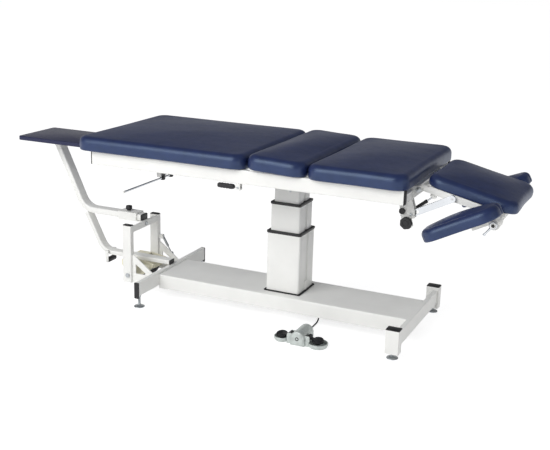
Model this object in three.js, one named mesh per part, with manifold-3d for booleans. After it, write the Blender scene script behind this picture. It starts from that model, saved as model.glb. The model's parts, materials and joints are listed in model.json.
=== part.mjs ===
// A height-adjustable traction table: a pressed base with cross frames, a three-stage telescopic column,
// a welded top frame with four upholstered sections, two drop armrests, a traction stand and a foot control.
// Millimetres. +X runs to the head end, -Y is the front side, +Z is up.
import * as THREE from "three";
import { mergeVertices } from "three/addons/utils/BufferGeometryUtils.js";
import Module from "manifold-3d";

const wasm = await Module();
wasm.setup();

// Fits that are shared by all pieces.
const seat = 0.3; // gap between two pieces that touch
const running = 1; // gap between two pieces that move past each other
const overrun = 5; // how far a cutting shape runs past the piece that it cuts

// The table's length and height: the two rails of its top frame.
const railFootX = -764;
const railHeadX = 565;
const railTop = 660;
const railHeight = 55;
const railBottom = railTop - railHeight;

// Base.
const channelWidth = 250;
const channelTop = 102;
const channelSide = 62;
const channelWall = 3;
const channelBend = 6;
const channelLip = 18;
const crossTubeWidth = 20;
const crossTubeHeight = 60;
const crossTubeWall = 3;
const crossTubeBend = 3;
const headCrossInset = 3; // from the rails' head ends
const headCrossX = railHeadX - headCrossInset;
const headCrossTop = 104;
const headLegSpacing = 560;
const legSetback = 11;
const headLegX = headCrossX - legSetback;
const legWidth = 55;
const legDepth = 41;
const legTop = 116;
const legWall = 3;
const legBottom = 22;
const capThickness = 3;
const capInsert = 14;
const footCrossInset = 190; // from the rails' foot ends
const footCrossX = railFootX + footCrossInset;
const footCrossTop = 112;
const footCrossLength = 574;
const footInset = 17;
const footCrossFeetSpacing = footCrossLength - 2 * footInset;
const footPadRadius = 23;
const footPadHeight = 9;
const footStemRadius = 6;
const footNutRadius = 10;
const footNutHeight = 7;
const stemReach = 12;

// Column: outer sizes along X and Y of its three stages.
const columnWall = 5;
const columnCorner = 9;
const lowerStage = { x: 148, y: 154 };
const middleStage = { x: 130, y: 134 };
const innerStage = { x: 112, y: 116 };
const grooveWidth = 40;
const grooveDepth = 3;
const lowerStageTop = 354;
const collarHeight = 9;
const collarOverhang = 3;
const middleStageTop = 475;
const gasketHeight = 4;
const gasketOverhang = 8;
// Travel down of each moving stage from the height shown, until the collars meet.
const strokeDown = middleStageTop - lowerStageTop - collarHeight - 2 * running;
const stagePlate = 4; // plate that closes the base under the column
const screwOuterRadius = 24;
const screwMiddleRadius = 18;
const screwInnerRadius = 11;
const screwY = -22;
const motorRadius = 20;
const motorLength = 112;
const motorY = 27;

// Top frame.
const railThickness = 25;
const railOuterY = 317.5;
const railWall = 3;
const crossMemberHeight = 20;
const crossMemberWidth = 30;
const columnPlateThickness = 6;
const columnPlateX = 210;
const columnPlateY = 180;
const endBarHeight = 34;
const ledgeWidth = 8;
const ledgeThickness = 4;
const ledgeRise = 4;
const ledgeZ = railBottom + ledgeRise;
const flatMemberHeight = ledgeRise + ledgeThickness; // level with the ledges, so that rollers pass it

// Cushions of the top: near and far edges lie at half of the table's width.
const tableWidth = 685;
const cushionThickness = 57;
const cushionCrown = 12;
const cushionRoll = 30;
const cushionCorner = 55;
const cushionDrawIn = 3;
const cushionGap = 6;
const cushionFootOverhang = 68;
const cushionHeadOverhang = 13;
const legCushionX = [railFootX - cushionFootOverhang, -68];
const midCushionX = [legCushionX[1] + cushionGap, 182];
const chestCushionX = [midCushionX[1] + cushionGap, railHeadX + cushionHeadOverhang];
const midCushionTilt = 2.5; // degrees, rising to the foot end

// Rolling carriage under the leg cushion.
const carriageFootInset = 179;
const carriageHeadInset = 44;
const carriageX = [railFootX + carriageFootInset, legCushionX[1] - carriageHeadInset];
const carriageBar = 6;
const carriageBarHeight = 44;
const carriageRise = 2; // how far its top stands above the rails
const rollerRadius = 15;
const rollerWidth = 7;
const axleRadius = 5;
const rollerInset = 25;
const rollerX = [carriageX[0] + rollerInset, carriageX[1] - rollerInset - 3 * running];

// Head section, in its own frame: its origin is the hinge, and its X axis runs along the section.
const hingeReach = 22; // past the rails' head ends
const hingeX = railHeadX + hingeReach;
const hingeDrop = 16;
const hingeZ = railTop - hingeDrop;
const hingeRodRadius = 7;
const hingeLugRadius = 13;
const hingeLugThickness = 8;
const hingeLugY = 198;
const headTilt = 13; // degrees down to the head end, as shown
const headLength = 344;
const headWidth = 380;
const headCushionStart = 13;
const headCushionZ = 21;
const headCushionThickness = 44;
const headBarHeight = 20;
const headBarWidth = 20;
const headBarZ = 6;
const headBarY = 178;
const headFrameEnd = 321;
const armrestRodX = 311;
const armrestRodRadius = 9;

// Head support: a forked bracket under the chest section's end, a ribbed arm and a gas spring.
const forkReach = 1; // past the rails' head ends
const forkX = railHeadX + forkReach;
const forkDrop = 96;
const forkZ = hingeZ - forkDrop;
const forkPlate = 5;
const forkGap = 17;
const supportPinRadius = 4;
const ribbedArmWidth = 12;
const ribbedArmHeight = 26;
const ribbedArmLength = 208;
const ribbedArmSlot = 14;
const ribbedArmSlotShares = [0.642, 0.966];
const ribbedArmUpperX = 126; // in the head frame
const ribbedArmUpperZ = 7.5;
const ribCount = 24;
const ribDepth = 1.8;
const springRadius = 7;
const springEye = 8;
const springRodRadius = 3.5;
const springBodyLength = 68;
const springRodStart = 33;
const springPinRadius = 2;
const springPinSetback = 5;
const springLowerX = forkX - springPinSetback;
const springPinRise = 8;
const springLowerZ = forkZ + springPinRise;
const springUpperX = 57; // in the head frame
const springUpperZ = -12;
const springY = -173;
const clampKnobRadius = 24;
const clampKnobThickness = 20;
const clampKnobSetback = 13;
const clampKnobX = forkX - clampKnobSetback;
const clampKnobDrop = 32;
const clampKnobZ = forkZ - clampKnobDrop;
const pivotKnobRadius = 12;
const pivotKnobThickness = 12;
const pivotKnobSetback = 33;
const pivotKnobX = forkX - pivotKnobSetback;
const pivotKnobRise = 10;
const pivotKnobZ = forkZ + pivotKnobRise;

// Armrests, each in its own frame: its origin is the pivot.
const armrestSlope = 27; // degrees up to the head end, as shown
const armrestLength = 295;
const armrestWidth = 150;
const armrestThickness = 46;
const armrestBeyondPivot = 33;
const armrestGap = 17; // between the head cushion and an armrest
const armrestCentreY = headWidth / 2 + armrestGap + armrestWidth / 2;
const armrestBossHalf = armrestWidth / 5;
const leverHubWidth = 13;
const armrestRodEnd = 4;
const armrestRodReach = armrestCentreY + armrestBossHalf + running + leverHubWidth + armrestRodEnd;
const armrestLift = 20;
const armrestCorner = 62;
const leverLength = 52;
const leverDroop = 25; // degrees below the pad

// Traction stand: it hangs on the foot cross tube, and its arm lies in a receiver between the posts.
const standReach = 153; // from the foot cross tube to the posts
const postX = footCrossX - standReach;
const postSpacing = 228;
const postWidth = 42;
const postDepth = 26;
const postTop = 298;
const postBottom = 40;
const postWall = 3;
const standBarDrop = 2;
const standBarTop = postTop - standBarDrop;
const standBarHeight = 28;
const standBarWidth = 8;
const standPlateThickness = 5;
const standPlateZ = 62;
const gussetTop = 168;
const armTubeWidth = 50;
const armTubeThickness = 27;
const armRise = 16; // its middle line above the bar between the posts
const armZ = standBarTop + armRise;
const armOverhang = 8; // of its end past the middle of the posts
const armEndX = postX + armOverhang;
const armRun = 303;
const armBendX = armEndX - armRun;
const armLean = 140;
const armTopX = armBendX - armLean;
const shelfTop = 640;
const armTopDrop = 34; // below the shelf
const armTopZ = shelfTop - armTopDrop;
const lowerTubeWidth = 44;
const lowerTubeThickness = 20;
const lowerBendInset = 100;
const lowerBendX = armBendX + lowerBendInset;
const lowerTubeZ = footCrossTop + 2 * running + lowerTubeThickness / 2;
const lowerEndX = footCrossX - running;
const glideInset = 26;
const glideX = lowerBendX + glideInset;
const glideRadius = 12;
const glideDrop = 36;
const glideZ = lowerTubeZ - glideDrop;
const glideLength = 60;
const saddleReach = 105;
const saddleInset = 11;
const saddleX = [postX - saddleReach, postX - saddleInset];
const saddleWall = 5;
const standKnobInset = 38;
const standKnobX = saddleX[0] + standKnobInset;
const standKnobRadius = 15;
const standKnobHeight = 22;
const shelfBack = 130; // behind the arm's top
const shelfFront = 262;
const shelfX = [armTopX - shelfBack, armTopX + shelfFront];
const shelfWidth = 262;
const shelfThickness = 18;
const shelfCorner = 14;
const wheelRadius = 43;
const wheelWidth = 24;
const wheelY = 60;
const wheelOffset = 5;
const wheelX = postX + wheelOffset;
const wheelZ = 73;
const wheelAxleRadius = 6;
const wheelForkPlate = 4;
const wheelForkBack = 64;
const wheelForkFront = 80;
const wheelForkX = [wheelX - wheelForkBack, wheelX + wheelForkFront];
const wheelForkRise = 8; // its top above the wheels
const wheelForkTop = wheelZ + wheelRadius + wheelForkRise;
const wheelForkDrop = 17; // its lower edge below the axle
const wheelForkLow = wheelZ - wheelForkDrop;
const stayRadius = 7;
const stayInset = 33;
const stayReach = 72;
const stayFrom = { x: postX + stayInset, z: 195 };
const stayTo = { x: footCrossX - stayReach, z: 118 };

// Controls under the top.
const lockInset = 28;
const lockX = legCushionX[1] - lockInset;
const lockDrop = 17;
const lockZ = railBottom - lockDrop;
const lockLength = 92;
const lockGripLength = 62;
const lockGripRadius = 10;
const lockShankRadius = 5;
const lockPinRadius = 3;
const lockCheek = 4;
const releaseInset = 166;
const releaseX = railFootX + releaseInset;
const releaseDrop = 93;
const releaseZ = railBottom - releaseDrop;
const releaseHalf = 345;
const releaseRodRadius = 4.5;
const releaseHubHalf = 60;
const releaseHubRadius = 10;
const releaseHubRise = 19;
const releaseClipY = 34;
const releaseClipWidth = 14;
const hangerPlate = 5;

// Foot control on the floor.
const controlX = 186;
const controlY = -300;
const controlPedals = [{ name: "left", sign: -1, dish: 32 }, { name: "right", sign: 1, dish: 40 }];
const pedalOffset = 76;
const controlBodyWidth = 58;
const controlBodyHeight = 58;
const controlBodyBack = 58;
const controlBodyFront = 46;
const controlPlate = 9;
const controlDishHeight = 19;
const controlDishWall = 4;
const pedalRadius = 23;
const pedalThickness = 9;
const pedalTilt = 14;
const pedalArmWidth = 12;
const pedalArmHeight = 8;
const pedalHubRadius = 9;
const pedalHubZ = 34;
const pedalHubLength = 30;
const pedalForward = 15;
const pedalZ = 25;

// Control box under the base channel.
const boxX = [130, 330];
const boxHalfY = 84;
const boxHeight = 46;
const glandInsetX = 35;
const glandX = boxX[0] + glandInsetX;
const glandInsetY = 22;
const glandY = glandInsetY - boxHalfY;
const glandRadius = 9;
const glandLength = 12;
const boxTop = channelTop - channelWall - seat;
const glandBottom = boxTop - boxHeight - glandLength;

// The lead from the back of the foot control over the floor to the gland of the box.
const leadRadius = 3;
const leadInset = 14;
const leadX = controlX - leadInset;
const leadZ = 36;
const leadY = controlY + controlBodyBack + controlDishWall + 2 * seat;
const leadFloorZ = leadRadius + 2 * seat;
const leadEndZ = glandBottom - seat;
// Each point: its share of the way from the control to the gland, and of the rise from the floor to that end.
const leadRoute = [
  [0, 1], [0.034, 1], [0.1, 0.933], [0.167, 0.75], [0.234, 0.5], [0.3, 0.25], [0.367, 0.067], [0.434, 0],
  [0.55, 0], [0.69, 0], [0.79, 0.003], [0.855, 0.035], [0.914, 0.136], [0.961, 0.326], [0.99, 0.58], [1, 0.83],
  [1, 1],
];

const degree = Math.PI / 180;
const roundSides = 20;

// Materials.
function finish(color, roughness, metalness) {
  return new THREE.MeshStandardMaterial({ color, roughness, metalness, flatShading: true });
}
const whitePaint = finish(0xeeeeea, 0.35, 0.1);
const bluePad = finish(0x141c46, 0.3, 0);
const blackPlastic = finish(0x17171a, 0.5, 0);
const blackRubber = finish(0x1b1b1d, 0.8, 0);
const chrome = finish(0xc9ccd0, 0.15, 1);
const zincSteel = finish(0xb9bcbe, 0.4, 0.9);
const castAluminium = finish(0xb4b9b6, 0.45, 0.8);
const greyPaint = finish(0x8b9093, 0.5, 0.2);
const navyBoard = finish(0x141a3a, 0.45, 0);
const creamPaint = finish(0xe6e2cf, 0.5, 0.05);

// Solids. A closed geometry becomes a solid once its vertices are shared.
function solidOf(geometry) {
  geometry.deleteAttribute("normal");
  geometry.deleteAttribute("uv");
  const merged = mergeVertices(geometry, 1e-4);
  return new wasm.Manifold(
    new wasm.Mesh({
      numProp: 3,
      vertProperties: Float32Array.from(merged.attributes.position.array),
      triVerts: Uint32Array.from(merged.index.array),
    }),
  );
}

function geometryOf(solid) {
  const mesh = solid.getMesh();
  const geometry = new THREE.BufferGeometry();
  geometry.setAttribute("position", new THREE.BufferAttribute(mesh.vertProperties, 3));
  geometry.setIndex(new THREE.BufferAttribute(mesh.triVerts, 1));
  geometry.computeVertexNormals();
  return geometry;
}

function join(...solids) {
  return solids.reduce((whole, next) => whole.add(next));
}

function cut(whole, ...tools) {
  return tools.reduce((left, tool) => left.subtract(tool), whole);
}

// A block from its low corner to its high corner.
function block(low, high) {
  const size = high.map((h, i) => h - low[i]);
  const middle = high.map((h, i) => (h + low[i]) / 2);
  return solidOf(new THREE.BoxGeometry(...size).translate(...middle));
}

// A shape drawn in one plane and carried along the third axis, from one place on it to another.
function extruded(shape, axis, from, to, curveSegments = 1) {
  const geometry = new THREE.ExtrudeGeometry(shape, { depth: to - from, bevelEnabled: false, curveSegments });
  if (axis === "x") {
    const turn = new THREE.Matrix4().makeBasis(
      new THREE.Vector3(0, 1, 0), new THREE.Vector3(0, 0, 1), new THREE.Vector3(1, 0, 0));
    geometry.applyMatrix4(turn).translate(from, 0, 0);
  }
  if (axis === "y") geometry.rotateX(Math.PI / 2).translate(0, to, 0);
  if (axis === "z") geometry.translate(0, 0, from);
  return solidOf(geometry);
}

// A round bar along an axis; at holds its two other coordinates, in the order x, y, z.
function bar(axis, radius, from, to, at, sides = roundSides) {
  const geometry = new THREE.CylinderGeometry(radius, radius, to - from, sides);
  const middle = (from + to) / 2;
  if (axis === "x") geometry.rotateZ(Math.PI / 2).translate(middle, at[0], at[1]);
  if (axis === "y") geometry.translate(at[0], middle, at[1]);
  if (axis === "z") geometry.rotateX(Math.PI / 2).translate(at[0], at[1], middle);
  return solidOf(geometry);
}

// A turned piece: pairs of radius and height, from the axis at its foot to the axis at its top.
function turned(profile, at, sides = roundSides) {
  const points = profile.map(([r, z]) => new THREE.Vector2(r, z));
  return solidOf(new THREE.LatheGeometry(points, sides).rotateX(Math.PI / 2).translate(...at));
}

// A rectangle with round corners, centred on a point of its plane.
function roundedRectangle(width, height, radius, centre = [0, 0]) {
  const shape = new THREE.Shape();
  const r = Math.min(radius, width / 2, height / 2);
  const [left, right] = [centre[0] - width / 2, centre[0] + width / 2];
  const [low, high] = [centre[1] - height / 2, centre[1] + height / 2];
  shape.moveTo(left + r, low);
  shape.lineTo(right - r, low);
  shape.absarc(right - r, low + r, r, -Math.PI / 2, 0);
  shape.lineTo(right, high - r);
  shape.absarc(right - r, high - r, r, 0, Math.PI / 2);
  shape.lineTo(left + r, high);
  shape.absarc(left + r, high - r, r, Math.PI / 2, Math.PI);
  shape.lineTo(left, low + r);
  shape.absarc(left + r, low + r, r, Math.PI, Math.PI * 1.5);
  return shape;
}

// The same rectangle with the bore of a tube.
function tubeSection(width, height, radius, wall, centre = [0, 0]) {
  const section = roundedRectangle(width, height, radius, centre);
  const bore = roundedRectangle(width - 2 * wall, height - 2 * wall, radius - wall / 2, centre);
  section.holes.push(bore);
  return section;
}

function polygon(points) {
  return new THREE.Shape(points.map(([u, v]) => new THREE.Vector2(u, v)));
}

// One named sub-part. geometry is a solid or a BufferGeometry.
function piece(name, geometry, material, group) {
  const mesh = new THREE.Mesh(geometry.isBufferGeometry ? geometry : geometryOf(geometry), material.clone());
  mesh.name = name;
  group.add(mesh);
  return mesh;
}

const sides = [{ name: "near", sign: -1 }, { name: "far", sign: 1 }];

// Outline of a cushion in plan, drawn in by an inset: round corners, and sides that pull in between them.
function cushionOutline(length, width, corner, inset, drawIn) {
  const cornerSteps = 4;
  const sideSteps = 4;
  const radius = Math.max(corner - inset, corner / 4);
  const [halfX, halfY] = [length / 2 - inset, width / 2 - inset];
  const centres = [[1, 1], [-1, 1], [-1, -1], [1, -1]];
  const points = [];
  centres.forEach(([sx, sy], quarter) => {
    for (let step = 0; step <= cornerSteps; step += 1) {
      const turn = (quarter + step / cornerSteps) * Math.PI / 2;
      points.push([
        sx * (halfX - radius) + radius * Math.cos(turn),
        sy * (halfY - radius) + radius * Math.sin(turn),
      ]);
    }
    const [nx, ny] = centres[(quarter + 1) % 4];
    const from = points[points.length - 1];
    const endTurn = (quarter + 1) * Math.PI / 2;
    const to = [
      nx * (halfX - radius) + radius * Math.cos(endTurn),
      ny * (halfY - radius) + radius * Math.sin(endTurn),
    ];
    for (let step = 1; step < sideSteps; step += 1) {
      const share = step / sideSteps;
      const pull = drawIn * Math.sin(Math.PI * share) ** 2;
      points.push([
        from[0] + (to[0] - from[0]) * share - pull * Math.cos(endTurn),
        from[1] + (to[1] - from[1]) * share - pull * Math.sin(endTurn),
      ]);
    }
  });
  return points;
}

// A cushion: flat underneath, with a tucked lower edge, a rolled upper edge and a crowned top.
function cushion(length, width, thickness, { corner, roll, crown, drawIn }) {
  const tuck = roll / 6;
  const rollSteps = 4;
  const rings = [{ inset: tuck, z: 0 }, { inset: 0, z: tuck * 1.5 }];
  for (let step = 0; step <= rollSteps; step += 1) {
    const turn = step / rollSteps * Math.PI / 2;
    rings.push({ inset: roll * (1 - Math.cos(turn)), z: thickness - roll * (1 - Math.sin(turn)) });
  }
  const outlines = rings.map(({ inset, z }) =>
    cushionOutline(length, width, corner, inset, drawIn).map(([x, y]) => [x, y, z]));
  const rim = outlines[outlines.length - 1];
  const crownShares = [0.78, 0.5, 0.22];
  crownShares.forEach((share) => {
    outlines.push(rim.map(([x, y]) => [x * share, y * share, thickness + crown * (1 - share ** 2)]));
  });
  const count = rim.length;
  const positions = [...outlines.flat(2), 0, 0, 0, 0, 0, thickness + crown];
  const lowCentre = outlines.length * count;
  const highCentre = lowCentre + 1;
  const last = (outlines.length - 1) * count;
  const index = [];
  for (let i = 0; i < count; i += 1) {
    const next = (i + 1) % count;
    index.push(lowCentre, next, i, highCentre, last + i, last + next);
    for (let ring = 0; ring < outlines.length - 1; ring += 1) {
      const [a, b] = [ring * count + i, ring * count + next];
      index.push(a, b, b + count, a, b + count, a + count);
    }
  }
  const geometry = new THREE.BufferGeometry();
  geometry.setAttribute("position", new THREE.Float32BufferAttribute(positions, 3));
  geometry.setIndex(index);
  return geometry;
}

// Base.
function baseChannel() {
  const half = channelWidth / 2;
  const low = channelTop - channelSide;
  const inner = half - channelWall;
  const innerTop = channelTop - channelWall;
  const bendSteps = 3;
  const bend = (sign, radius, centreOffset) => {
    const points = [];
    for (let step = 0; step <= bendSteps; step += 1) {
      const turn = (sign > 0 ? step : bendSteps - step) / bendSteps * Math.PI / 2;
      const y = half - centreOffset + radius * Math.cos(turn);
      points.push([sign * y, channelTop - centreOffset + radius * Math.sin(turn)]);
    }
    return points;
  };
  const outline = [
    [half, low],
    ...bend(1, channelBend, channelBend),
    ...bend(-1, channelBend, channelBend),
    [-half, low],
    [-half + channelLip, low],
    [-half + channelLip, low + channelWall],
    [-inner, low + channelWall],
    [-inner, innerTop],
    [inner, innerTop],
    [inner, low + channelWall],
    [half - channelLip, low + channelWall],
    [half - channelLip, low],
  ];
  const from = footCrossX + crossTubeWidth / 2;
  const to = headCrossX - crossTubeWidth / 2;
  const shell = extruded(polygon(outline), "x", from, to);
  const opening = stageBore(lowerStage);
  const well = block(
    [-opening.x / 2, -opening.y / 2, channelTop - channelWall - overrun],
    [opening.x / 2, opening.y / 2, channelTop + overrun],
  );
  const plateHalfX = lowerStage.x / 2;
  const plateHalfY = half - channelWall / 2;
  const plate = block([-plateHalfX, -plateHalfY, low], [plateHalfX, plateHalfY, low + stagePlate]);
  return join(cut(shell, well), plate);
}

function headCrossFrame() {
  const reach = headLegSpacing / 2;
  const low = headCrossTop - crossTubeHeight;
  const barSection = tubeSection(crossTubeWidth, crossTubeHeight, crossTubeBend, crossTubeWall,
    [headCrossX, low + crossTubeHeight / 2]);
  const inset = reach - legDepth / 2 + legWall / 2;
  const whole = [extruded(barSection, "y", -inset, inset)];
  sides.forEach(({ sign }) => {
    const centre = [headLegX, sign * reach];
    const section = tubeSection(legWidth, legDepth, crossTubeBend, legWall, centre);
    const tube = extruded(section, "z", legBottom, legTop);
    const plate = roundedRectangle(legWidth - legWall, legDepth - legWall, crossTubeBend, centre);
    const floorPlate = extruded(plate, "z", legBottom, legBottom + legWall);
    const stemHole = bar("z", footStemRadius + seat, legBottom - overrun, legBottom + overrun + legWall, centre);
    whole.push(cut(join(tube, floorPlate), stemHole));
  });
  const bore = crossTubeHeight / 2 - crossTubeWall;
  const boreX = crossTubeWidth / 2 - crossTubeWall;
  const middle = low + crossTubeHeight / 2;
  const through = block([headCrossX - boreX, -reach, middle - bore], [headCrossX + boreX, reach, middle + bore]);
  return cut(join(...whole), through);
}

function legCap(sign) {
  const centre = [headLegX, sign * headLegSpacing / 2];
  const top = legTop + seat;
  const outline = roundedRectangle(legWidth, legDepth, crossTubeBend, centre);
  const lid = extruded(outline, "z", top, top + capThickness);
  const gap = 2 * (legWall + seat);
  const insert = roundedRectangle(legWidth - gap, legDepth - gap, crossTubeBend, centre);
  return join(lid, extruded(insert, "z", top - capInsert, top + capThickness / 2));
}

function footCrossTube() {
  const middle = footCrossTop - crossTubeHeight / 2;
  const centre = [footCrossX, middle];
  const section = tubeSection(crossTubeWidth, crossTubeHeight, crossTubeBend, crossTubeWall, centre);
  const half = footCrossLength / 2;
  const tube = extruded(section, "y", -half, half);
  const low = footCrossTop - crossTubeHeight;
  const holes = sides.map(({ sign }) =>
    bar("z", footStemRadius + seat, low - overrun, low + overrun + crossTubeWall,
      [footCrossX, sign * footCrossFeetSpacing / 2]));
  return cut(tube, ...holes);
}

// A levelling foot: pad on the floor, lock nut and a screwed stem that ends inside its tube.
function levellingFoot(x, y, tubeBottom) {
  const nutTop = tubeBottom - seat;
  const nutLow = nutTop - footNutHeight;
  const rim = footPadHeight / 3;
  return turned([
    [0, 0], [footPadRadius, 0], [footPadRadius, rim], [footPadRadius * 0.8, rim * 2],
    [footNutRadius, footPadHeight], [footStemRadius, footPadHeight], [footStemRadius, nutLow],
    [footNutRadius, nutLow], [footNutRadius, nutTop], [footStemRadius, nutTop],
    [footStemRadius, tubeBottom + stemReach], [0, tubeBottom + stemReach],
  ], [x, y, 0], 12);
}

// Column. Each stage is an extrusion with a guide groove down its head-end and foot-end faces.
function stageOutline(size, inset) {
  const [halfX, halfY] = [size.x / 2 - inset, size.y / 2 - inset];
  const radius = columnCorner - inset / 2;
  const groove = grooveWidth / 2 - inset / 2;
  const shape = new THREE.Shape();
  const floorX = halfX - grooveDepth;
  shape.moveTo(halfX, -halfY + radius);
  shape.lineTo(halfX, -groove - grooveDepth);
  shape.lineTo(floorX, -groove);
  shape.lineTo(floorX, groove);
  shape.lineTo(halfX, groove + grooveDepth);
  shape.lineTo(halfX, halfY - radius);
  shape.absarc(halfX - radius, halfY - radius, radius, 0, Math.PI / 2);
  shape.lineTo(-halfX + radius, halfY);
  shape.absarc(-halfX + radius, halfY - radius, radius, Math.PI / 2, Math.PI);
  shape.lineTo(-halfX, groove + grooveDepth);
  shape.lineTo(-floorX, groove);
  shape.lineTo(-floorX, -groove);
  shape.lineTo(-halfX, -groove - grooveDepth);
  shape.lineTo(-halfX, -halfY + radius);
  shape.absarc(-halfX + radius, -halfY + radius, radius, Math.PI, Math.PI * 1.5);
  shape.lineTo(halfX - radius, -halfY);
  shape.absarc(halfX - radius, -halfY + radius, radius, Math.PI * 1.5, Math.PI * 2);
  return shape;
}

function stage(size, from, to) {
  const shape = stageOutline(size, 0);
  shape.holes.push(stageOutline(size, columnWall));
  return extruded(shape, "z", from, to, 2);
}

function stageBore(size) {
  return { x: size.x - 2 * columnWall, y: size.y - 2 * columnWall };
}

const plateTop = channelTop - channelSide + stagePlate;
const middleStageBottom = plateTop + 2 * running + strokeDown;
const innerStageBottom = middleStageBottom + strokeDown + 2 * running;
const lowerStageBottom = channelTop + seat;
const framePlateBottom = railTop - railHeight - columnPlateThickness;

// A ring round a stage, at the height where it leaves the larger one.
function stageCollar(outer, inner, z) {
  const ring = roundedRectangle(outer.x + 2 * collarOverhang, outer.y + 2 * collarOverhang, columnCorner);
  const hole = stageOutline(inner, -running / 2);
  ring.holes.push(hole);
  return extruded(ring, "z", z, z + collarHeight, 2);
}

function columnGasket() {
  const rim = 2 * gasketOverhang;
  const ring = roundedRectangle(lowerStage.x + rim, lowerStage.y + rim, columnCorner);
  ring.holes.push(stageOutline(lowerStage, -seat));
  return extruded(ring, "z", channelTop + seat, channelTop + seat + gasketHeight, 2);
}

function screwTube(outerRadius, boreRadius, from, to) {
  const tube = bar("z", outerRadius, from, to, [0, screwY]);
  return boreRadius ? cut(tube, bar("z", boreRadius, from - overrun, to + overrun, [0, screwY])) : tube;
}

function liftMotor() {
  const top = framePlateBottom - seat;
  const gearbox = block([-motorRadius, screwY + screwMiddleRadius + running, top - motorLength / 4],
    [motorRadius, motorY + motorRadius, top]);
  const body = bar("z", motorRadius, top - motorLength, top, [0, motorY]);
  return join(gearbox, body);
}

// Control box and lead.
function controlBox() {
  const low = boxTop - boxHeight;
  const body = block([boxX[0], -boxHalfY, low], [boxX[1], boxHalfY, boxTop]);
  const gland = bar("z", glandRadius, glandBottom, low + channelWall, [glandX, glandY], 12);
  return join(body, gland);
}

function controlLead() {
  const half = 0.6;
  const points = leadRoute.map(([share, rise]) => new THREE.Vector3(
    leadX + (glandX - leadX) * share,
    leadY + (glandY - leadY) * share,
    leadFloorZ + ((share < half ? leadZ : leadEndZ) - leadFloorZ) * rise,
  ));
  const curve = new THREE.CatmullRomCurve3(points, false, "centripetal");
  const section = new THREE.Shape();
  section.absarc(0, 0, leadRadius, 0, 2 * Math.PI);
  const form = { steps: 22, curveSegments: 3, bevelEnabled: false, extrudePath: curve };
  return new THREE.ExtrudeGeometry(section, form);
}

// Traction stand.
function standFrame() {
  const half = postSpacing / 2;
  const solids = [];
  const crossFace = footCrossX - crossTubeWidth / 2 - seat;
  const left = postX + postWidth / 2 - postWall;
  sides.forEach(({ sign }) => {
    const y = sign * half;
    const section = tubeSection(postWidth, postDepth, crossTubeBend, postWall, [postX, y]);
    const plateHalf = standPlateThickness / 2;
    solids.push(extruded(section, "z", postBottom, postTop));
    solids.push(extruded(gussetOutline(left, crossFace), "y", y - plateHalf, y + plateHalf));
  });
  const inner = half - postDepth / 2 + postWall / 2;
  const barX = postX + postWidth / 2 - standBarWidth;
  const plateX = crossFace - standPlateThickness;
  solids.push(block([barX, -inner, standBarTop - standBarHeight], [barX + standBarWidth, inner, standBarTop]));
  solids.push(block([plateX, -half, postBottom], [crossFace, half, postBottom + standBarHeight]));
  const lugY = half + standPlateThickness / 2;
  const lugZ = stayFrom.z - stayRadius * 1.5;
  solids.push(block([left, lugY - standPlateThickness, lugZ],
    [stayFrom.x + stayRadius, lugY, lugZ + stayRadius * 3]));
  const axleHole = bar("y", wheelAxleRadius + seat, -half - postDepth, half + postDepth, [wheelX, wheelZ], 16);
  return cut(join(...solids, standSaddle(barX)), axleHole, saddleHole());
}

// A post's gusset: a plate down to the foot cross tube, with a triangular window.
function gussetOutline(left, crossFace) {
  const rib = postWidth / 2;
  const outline = polygon([
    [left, postBottom], [crossFace, postBottom], [crossFace, standPlateZ + rib], [left + rib / 2, gussetTop],
    [left, gussetTop],
  ]);
  outline.holes.push(new THREE.Path([
    [left + rib, standPlateZ + rib], [left + rib, gussetTop - rib * 2], [crossFace - rib * 2, standPlateZ + rib],
  ].map(([u, v]) => new THREE.Vector2(u, v))));
  return outline;
}

// The receiver of the arm: a short sleeve of plates on a floor that reaches the bar between the posts.
function standSaddle(barX) {
  const armHalf = armTubeThickness / 2;
  const floor = armZ - armHalf - seat;
  const ceiling = armZ + armHalf + seat;
  const cheek = armTubeWidth / 2 + seat;
  const [from, to] = saddleX;
  const solids = [
    block([from, -cheek - saddleWall, floor - saddleWall],
      [barX + standBarWidth / 2, cheek + saddleWall, floor]),
    block([from, -cheek - saddleWall, ceiling], [to, cheek + saddleWall, ceiling + saddleWall]),
    block([barX, -cheek, standBarTop - saddleWall], [barX + standBarWidth / 2, cheek, floor]),
  ];
  sides.forEach(({ sign }) => {
    const [a, b] = [sign * cheek, sign * (cheek + saddleWall)].sort((u, v) => u - v);
    solids.push(block([from, a, floor - saddleWall], [to, b, ceiling + saddleWall]));
  });
  return join(...solids);
}

function saddleHole() {
  const armTop = armZ + armTubeThickness / 2;
  return bar("z", standKnobRadius / 3 + seat, armTop, armTop + overrun * 3, [standKnobX, 0], 12);
}

// Fork of the transport wheels: two plates beside each wheel, bridges above them, and the axle.
function wheelFork() {
  const [from, to] = wheelForkX;
  const corner = wheelRadius / 4;
  const outline = new THREE.Shape();
  outline.moveTo(from, wheelForkTop);
  outline.lineTo(from, wheelForkTop - corner * 2);
  outline.quadraticCurveTo(from + corner * 2, wheelForkLow, wheelX, wheelForkLow);
  outline.quadraticCurveTo(to - corner * 3, wheelForkLow, to, wheelForkTop - corner * 2);
  outline.lineTo(to, wheelForkTop - corner);
  outline.lineTo(wheelX + corner, wheelForkTop);
  const inside = wheelWidth / 2 + 2 * running;
  const solids = [bar("y", wheelAxleRadius, -postSpacing / 2, postSpacing / 2, [wheelX, wheelZ], 12)];
  sides.forEach(({ sign }) => {
    const middle = sign * wheelY;
    [-1, 1].forEach((face) => {
      const [a, b] = [inside, inside + wheelForkPlate].map((y) => middle + face * y).sort((u, v) => u - v);
      solids.push(extruded(outline, "y", a, b, 6));
    });
    solids.push(block([from, middle - inside - seat, wheelForkTop - wheelForkPlate],
      [wheelX, middle + inside + seat, wheelForkTop]));
  });
  return join(...solids);
}

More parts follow.
